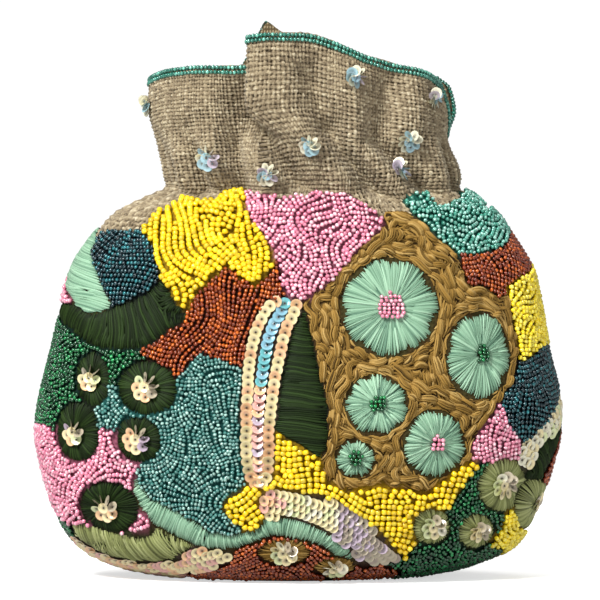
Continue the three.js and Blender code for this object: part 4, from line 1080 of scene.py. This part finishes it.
olive_cotton = stranded_cotton("olive_cotton_floss", "#565a30", "#8d9458", "#b3b87e")
olive_rounds = [f"olive_round_{k}" for k in range(1, 5)]
stitched("olive_stitches", "olive", olive_cotton, ["olive_leaf_stitch", *olive_rounds],
         [strand_lines(satin_area("olive_leaf_stitch"), 0.4, 0.32, 41, pad=0.8),
          *[strand_lines(satin_round(r, 1.2), 0.38, 0.3, 42 + k, pad=0.8)
            for k, r in enumerate(olive_rounds)]])


# The bronze ground: thick soft yarn in chained stitches, several strands each, worked round
# and round between the flowers.
def yarn_stitches(area, gap, seed, strands=4):
    """Loops of several strands each, and how far each strand rises in its loop."""
    number = works.index(area) + 1
    random = np.random.default_rng(seed)
    line = line_across(number, 1.5) + math.pi / 2 + wander(seed, 14, 0.55)
    lines, crown = [], []
    for row in lay_rows(number, line, gap, 1.3, close=0.66, seed=seed, margin=gap * 0.2):
        start = 0
        while start < len(row) - 2:
            length = random.integers(5, 9)
            high = random.uniform(0, 0.9)
            part = row[max(0, start - 1):start + length]
            start += length - 1
            if len(part) < 3:
                continue
            i, j = spot(part[:, 0], part[:, 1])
            sizes = np.stack([turn_size[i, j], height_size[i, j]], -1)
            way = unit(np.gradient(part * sizes, axis=0))
            flank = np.stack([-way[:, 1], way[:, 0]], -1)
            swell = np.sin(np.linspace(0.15, math.pi - 0.15, len(part)))[:, None]
            lean = random.uniform(-0.5, 0.5) * gap * np.linspace(-1, 1, len(part))[:, None]
            for k in range(strands):
                off = (k - (strands - 1) / 2) / strands * gap * 1.05
                bend = off * (0.45 + 0.55 * swell) + lean * 0.6 + random.normal() * 0.08
                lines.append(part + flank * bend / sizes)
                crown.append(high + 0.7 * (1 - (2 * k / (strands - 1) - 1) ** 2))
    return lines, crown


bronze_yarn = stranded_cotton("bronze_soft_yarn", "#4a3613", "#967434", "#b8985a", 0.7, 0.1, 0.15)
bronze_rounds = ["bronze_round_1", "bronze_round_2"]
loops, crown = yarn_stitches("bronze_stitch_ground", 2.7, 51)
stitched("bronze_stitches", "bronze", bronze_yarn, ["bronze_stitch_ground", *bronze_rounds],
         [strand_lines(satin_area("bronze_stitch_ground", gap=0.9, reach=1.5, stray=0.5,
                                  turned=math.pi / 2), 0.45, 0.3, 50, base=1.1, pad=0.3),
          strand_lines(loops, 0.42, 0.4, 51, base=1.2, pad=0.8, uneven=0.08, sink=0.3, crown=crown),
          *[strand_lines(satin_round(r, 1.0), 0.38, 0.3, 52 + k, pad=0.8)
            for k, r in enumerate(bronze_rounds)]])


# Sequins: cupped film discs 4.4 to 4.9 mm across with a centre hole, each sewn down through it
# and overlapping the one before. The film has a pearl coating in pale tints.
pearl_tints = {"cream": "#f0e2b4", "peach": "#f2c9a0", "rose": "#e8b7ac", "mint": "#dfe6b4",
               "blue": "#93bfcf", "aqua": "#74b6ba", "lilac": "#c2b1bf", "white": "#ece8cf",
               "grey": "#bdb29c", "taupe": "#a5978a", "clear_blue": "#a9c8cf", "clear_lilac": "#cabfcb"}
tint_values = {key: linear(code) for key, code in pearl_tints.items()}


def sequin_discs(centres, normals, along, tilt, radius, tints, sides=14):
    """Cupped discs, each tipped up along the row so that it lies on the next."""
    total = len(centres)
    tilt = np.broadcast_to(np.asarray(tilt, float), (total,))[:, None]
    side = unit(np.cross(normals, along))
    along = unit(np.cross(side, normals))
    face = normals * np.cos(tilt) + along * np.sin(tilt)
    lie = along * np.cos(tilt) - normals * np.sin(tilt)
    angle = np.arange(sides) * 2 * math.pi / sides
    spoke = np.cos(angle)[None, :, None] * lie[:, None] + np.sin(angle)[None, :, None] * side[:, None]
    profile = np.array([(0.13, 0.06), (0.24, 0.02), (0.62, 0.06), (0.93, 0.22), (1.0, 0.21)])
    rings = (profile[None, :, None, :1] * spoke[:, None] + profile[None, :, None, 1:] * face[:, None, None])
    verts = centres[:, None, None] + rings * radius
    per = len(profile) * sides
    faces = (np.arange(total) * per)[:, None, None] + quads_between(len(profile), sides)[None]
    tint = np.array([tint_values[t] for t in tints])
    # Painted shade: dark round the centre hole, and a little at the rim
    hole = np.tile(np.repeat([1.0, 0.55, 0.0, 0.0, 0.12], sides), total)
    return verts.reshape(-1, 3), [faces.reshape(-1, 4)], np.repeat(tint, per, 0), hole


def band_columns(area, side_gap, step):
    """Three columns down an upright band, one along each side and one between them."""
    inside = labels == works.index(area) + 1
    levels = np.flatnonzero(inside.sum(0) > 6)
    spans = np.array([sheet_turns[np.flatnonzero(inside[:, j])[[0, -1]]] for j in levels])
    spans = np.stack([np.convolve(np.pad(side, 5, "edge"), np.ones(11) / 11, "valid")
                      for side in spans.T], -1)
    z = sheet_heights[levels]
    inward = side_gap / turn_size[spot(spans.mean(1), z)]
    columns = []
    for turns in (spans[:, 0] + inward, spans.mean(1), spans[:, 1] - inward):
        path = on_skin(turns, z, 0.0, **stiff)[0]
        run_down = np.r_[0, np.cumsum(np.linalg.norm(np.diff(path, axis=0), axis=1))]
        at = np.arange(side_gap * 0.7, run_down[-1] - side_gap * 0.5, step)
        columns.append(np.stack([np.interp(at, run_down, turns), np.interp(at, run_down, z)], -1))
    return columns


def sequin_rows(area, gap, step, pick, tilt=0.3, reach=4.0, heading=0.0, base=1.7, radius=2.45,
                rows=None):
    """Rows of sequins along one band, all of them headed the same way."""
    number = works.index(area) + 1
    parts = []
    random = np.random.default_rng(number)
    if rows is None:
        line = line_across(number, reach) + math.pi / 2
        rows = lay_rows(number, line, gap, step, close=0.75, seed=number, margin=gap * 0.32)
    for row in rows:
        centres, normals = on_skin(row[:, 0], row[:, 1], base, **stiff)
        if len(row) < 2:
            continue
        along = unit(np.gradient(centres, axis=0))
        way = np.array([math.cos(heading), 0, math.sin(heading)])
        if np.sum(along.mean(0) * way) < 0:
            centres, normals, along, row = centres[::-1], normals[::-1], -along[::-1], row[::-1]
        i, j = spot(row[:, 0], row[:, 1])
        tints = [pick(centres[k], random) for k in range(len(row))]
        tilts = tilt + random.normal(size=len(row)) * 0.06
        parts.append(sequin_discs(centres + random.normal(size=centres.shape) * 0.12, normals, along,
                                  tilts, radius, tints))
    return parts


def rosette(turn, z, out, ring, radius, number, tints, seed, tilt=(0.28, 1.0)):
    """A small flower of sequins sewn round a ring, each lying on the last. They lie nearly
    flat at one side and stand up at the other."""
    random = np.random.default_rng(seed)
    centre, normal = on_skin(np.array([turn]), np.array([z]), np.array([out]), **stiff)
    centre, normal = centre[0], normal[0]
    level = unit(np.cross(np.array([0, 0, 1.0]), normal))
    rising = np.cross(normal, level)
    angle = random.uniform(0, 2 * math.pi) + np.arange(number) * 2 * math.pi / number
    spoke = np.cos(angle)[:, None] * level + np.sin(angle)[:, None] * rising
    tangent = -np.sin(angle)[:, None] * level + np.cos(angle)[:, None] * rising
    centres = centre + spoke * (ring + random.normal(size=(number, 1)) * 0.15) + normal * 0.35
    standing = 0.5 + 0.5 * np.cos(angle - math.radians(random.uniform(30, 95)))
    tilts = tilt[0] + (tilt[1] - tilt[0]) * standing + random.normal(size=number) * 0.08
    centres = centres + normal * (standing * 0.9 * tilt[1])[:, None]
    names = [tints[int(np.clip(s * len(tints), 0, len(tints) - 1))]
             for s in standing + random.normal(size=number) * 0.22]
    centres = np.vstack([centres, centre + normal * 0.9 - level * 0.4])
    tangent = np.vstack([tangent, level])
    return sequin_discs(centres, np.tile(normal, (number + 1, 1)), tangent, np.r_[tilts, 0.12], radius,
                        [*names, tints[1]])


def any_tint(random, *names):
    return names[random.integers(len(names))]


# The band's middle is blue above this height, and the arcs turn pale and then grey to the right
blue_above, pale_from, grey_from = 78, -6, 14


def middle_tint(place, random):
    if place[2] > blue_above:
        return any_tint(random, "blue", "aqua", "blue")
    return any_tint(random, "rose", "lilac", "peach", "rose")


def side_tint(place, random):
    return any_tint(random, "cream", "peach", "cream")


def arc_tint(place, random):
    if place[0] > grey_from:
        return any_tint(random, "grey", "lilac", "taupe", "grey")
    if place[0] > pale_from:
        return any_tint(random, "cream", "mint", "white", "cream")
    return any_tint(random, "peach", "cream", "rose", "cream")


def strip_tint(place, random):
    return any_tint(random, "mint", "white", "cream")


left_column, middle_column, right_column = band_columns("sequin_band_centre", 2.2, 3.0)
sequin_parts = [
    *sequin_rows("sequin_band_centre", 4, 3, middle_tint, heading=math.pi / 2, base=1.5,
                 rows=[middle_column]),
    *sequin_rows("sequin_band_centre", 4, 3, side_tint, heading=-math.pi / 2, base=2.1, tilt=0.42,
                 rows=[left_column, right_column]),
    *sequin_rows("sequin_arc_lower", 2.8, 2.4, arc_tint, heading=math.pi, reach=10, tilt=0.4, radius=2.2),
    *sequin_rows("sequin_arc_left", 2.6, 2.6, arc_tint, heading=0.0, reach=10, tilt=0.3, radius=2.2),
    *sequin_rows("sequin_strip_right", 2.7, 3.0, strip_tint, heading=-math.pi / 2, reach=8, tilt=0.16,
                 radius=2.3)]

# Each round's rosette: the radius of its ring and its number of sequins. At the far sides a
# rosette lies flat.
flat_beyond_turn = 70
for k, (area, ring, number) in enumerate((
        ("green_round_1", 3.3, 7), ("green_round_2", 3.8, 8), ("green_round_3", 3.3, 7),
        ("green_round_4", 3.8, 8), ("green_round_5", 4.0, 8), ("olive_round_1", 3.6, 8),
        ("olive_round_2", 3.2, 7), ("olive_round_3", 3.2, 7), ("olive_round_4", 2.6, 6),
        ("bronze_round_1", 3.6, 8), ("bronze_round_2", 3.2, 7))):
    i, j = np.argwhere(labels == works.index(area) + 1).mean(0).round().astype(int)
    names = ["peach", "cream", "mint", "lilac", "grey"] if area.startswith("green") else [
        "mint", "cream", "white", "cream", "grey"]
    out, tilt = 2.0, (0.2, 0.95)
    if abs(sheet_turns[i]) > flat_beyond_turn:
        out, tilt = 1.3, (0.1, 0.2)
    sequin_parts.append(rosette(sheet_turns[i], sheet_heights[j], out, ring, 2.25, number, names,
                                70 + k, tilt))

pearl_film, tree, output = bare_material("pearl_coated_sequin_film")
tint = add(tree, "ShaderNodeAttribute", attribute_name="tint")
hole = add(tree, "ShaderNodeAttribute", attribute_name="hole")
swirl = add(tree, "ShaderNodeTexNoise", {"Scale": 1000 / 4, "Detail": 2.0, "Distortion": 1.5})
shift = add(tree, "ShaderNodeMath", {1: 0.16, 2: 0.42}, {0: swirl.outputs["Fac"]}, operation="MULTIPLY_ADD")
varied = add(tree, "ShaderNodeHueSaturation", {"Saturation": 1.1, "Value": 1.0},
             {"Color": tint.outputs["Color"], "Hue": shift.outputs[0]})
# Painted shade: the film turns dark brown round its hole and a little at its rim
pierced = add(tree, "ShaderNodeMix", {7: linear("#4a4036")},
              {0: hole.outputs["Fac"], 6: varied.outputs[0]}, data_type="RGBA")
film = add(tree, "ShaderNodeBsdfPrincipled",
           {"Roughness": 0.28, "Metallic": 0.1, "IOR": 1.57, "Coat Weight": 0.6, "Coat Roughness": 0.1,
            "Specular IOR Level": 0.6}, {"Base Color": pierced.outputs[2]})
tree.links.new(film.outputs[0], output.inputs[0])
verts, faces, tints, holes = joined(sequin_parts)
piece("sequins_front", verts, faces, pearl_film, "sequin",
      ["sequin_band_centre", "sequin_arc_lower", "sequin_arc_left", "sequin_strip_right"],
      tint=tints, hole=holes)

# The neck's rosettes: a few clear iridescent sequins bunched together, scattered over the
# gathers. Each stands where the part has its small disc.
neck_tints = ["white", "clear_blue", "clear_lilac", "white"]
neck_parts = []
# Turn, share of the neck's height, and size against the largest
for k, (turn, share, size) in enumerate((
        (-38, 0.27, 1), (-16, 0.13, 0.81), (4, 0.3, 0.78), (22, 0.8, 0.74), (61, 0.78, 0.74),
        (47, 0.42, 0.89), (38, 0.14, 0.89), (-84, 0.75, 0.74))):
    z = gather_height + share * (mouth_height(turn) - gather_height)
    neck_parts.append(rosette(turn, float(z), 1.6, 3.1 * size, 2.3, 8, neck_tints, 90 + k, (0.35, 1.2)))
verts, faces, tints, holes = joined(neck_parts)
piece("neck_rosettes", verts, faces, pearl_film, "sequin", [f"neck_rosette_{k}" for k in range(1, 9)],
      tint=tints, hole=holes)
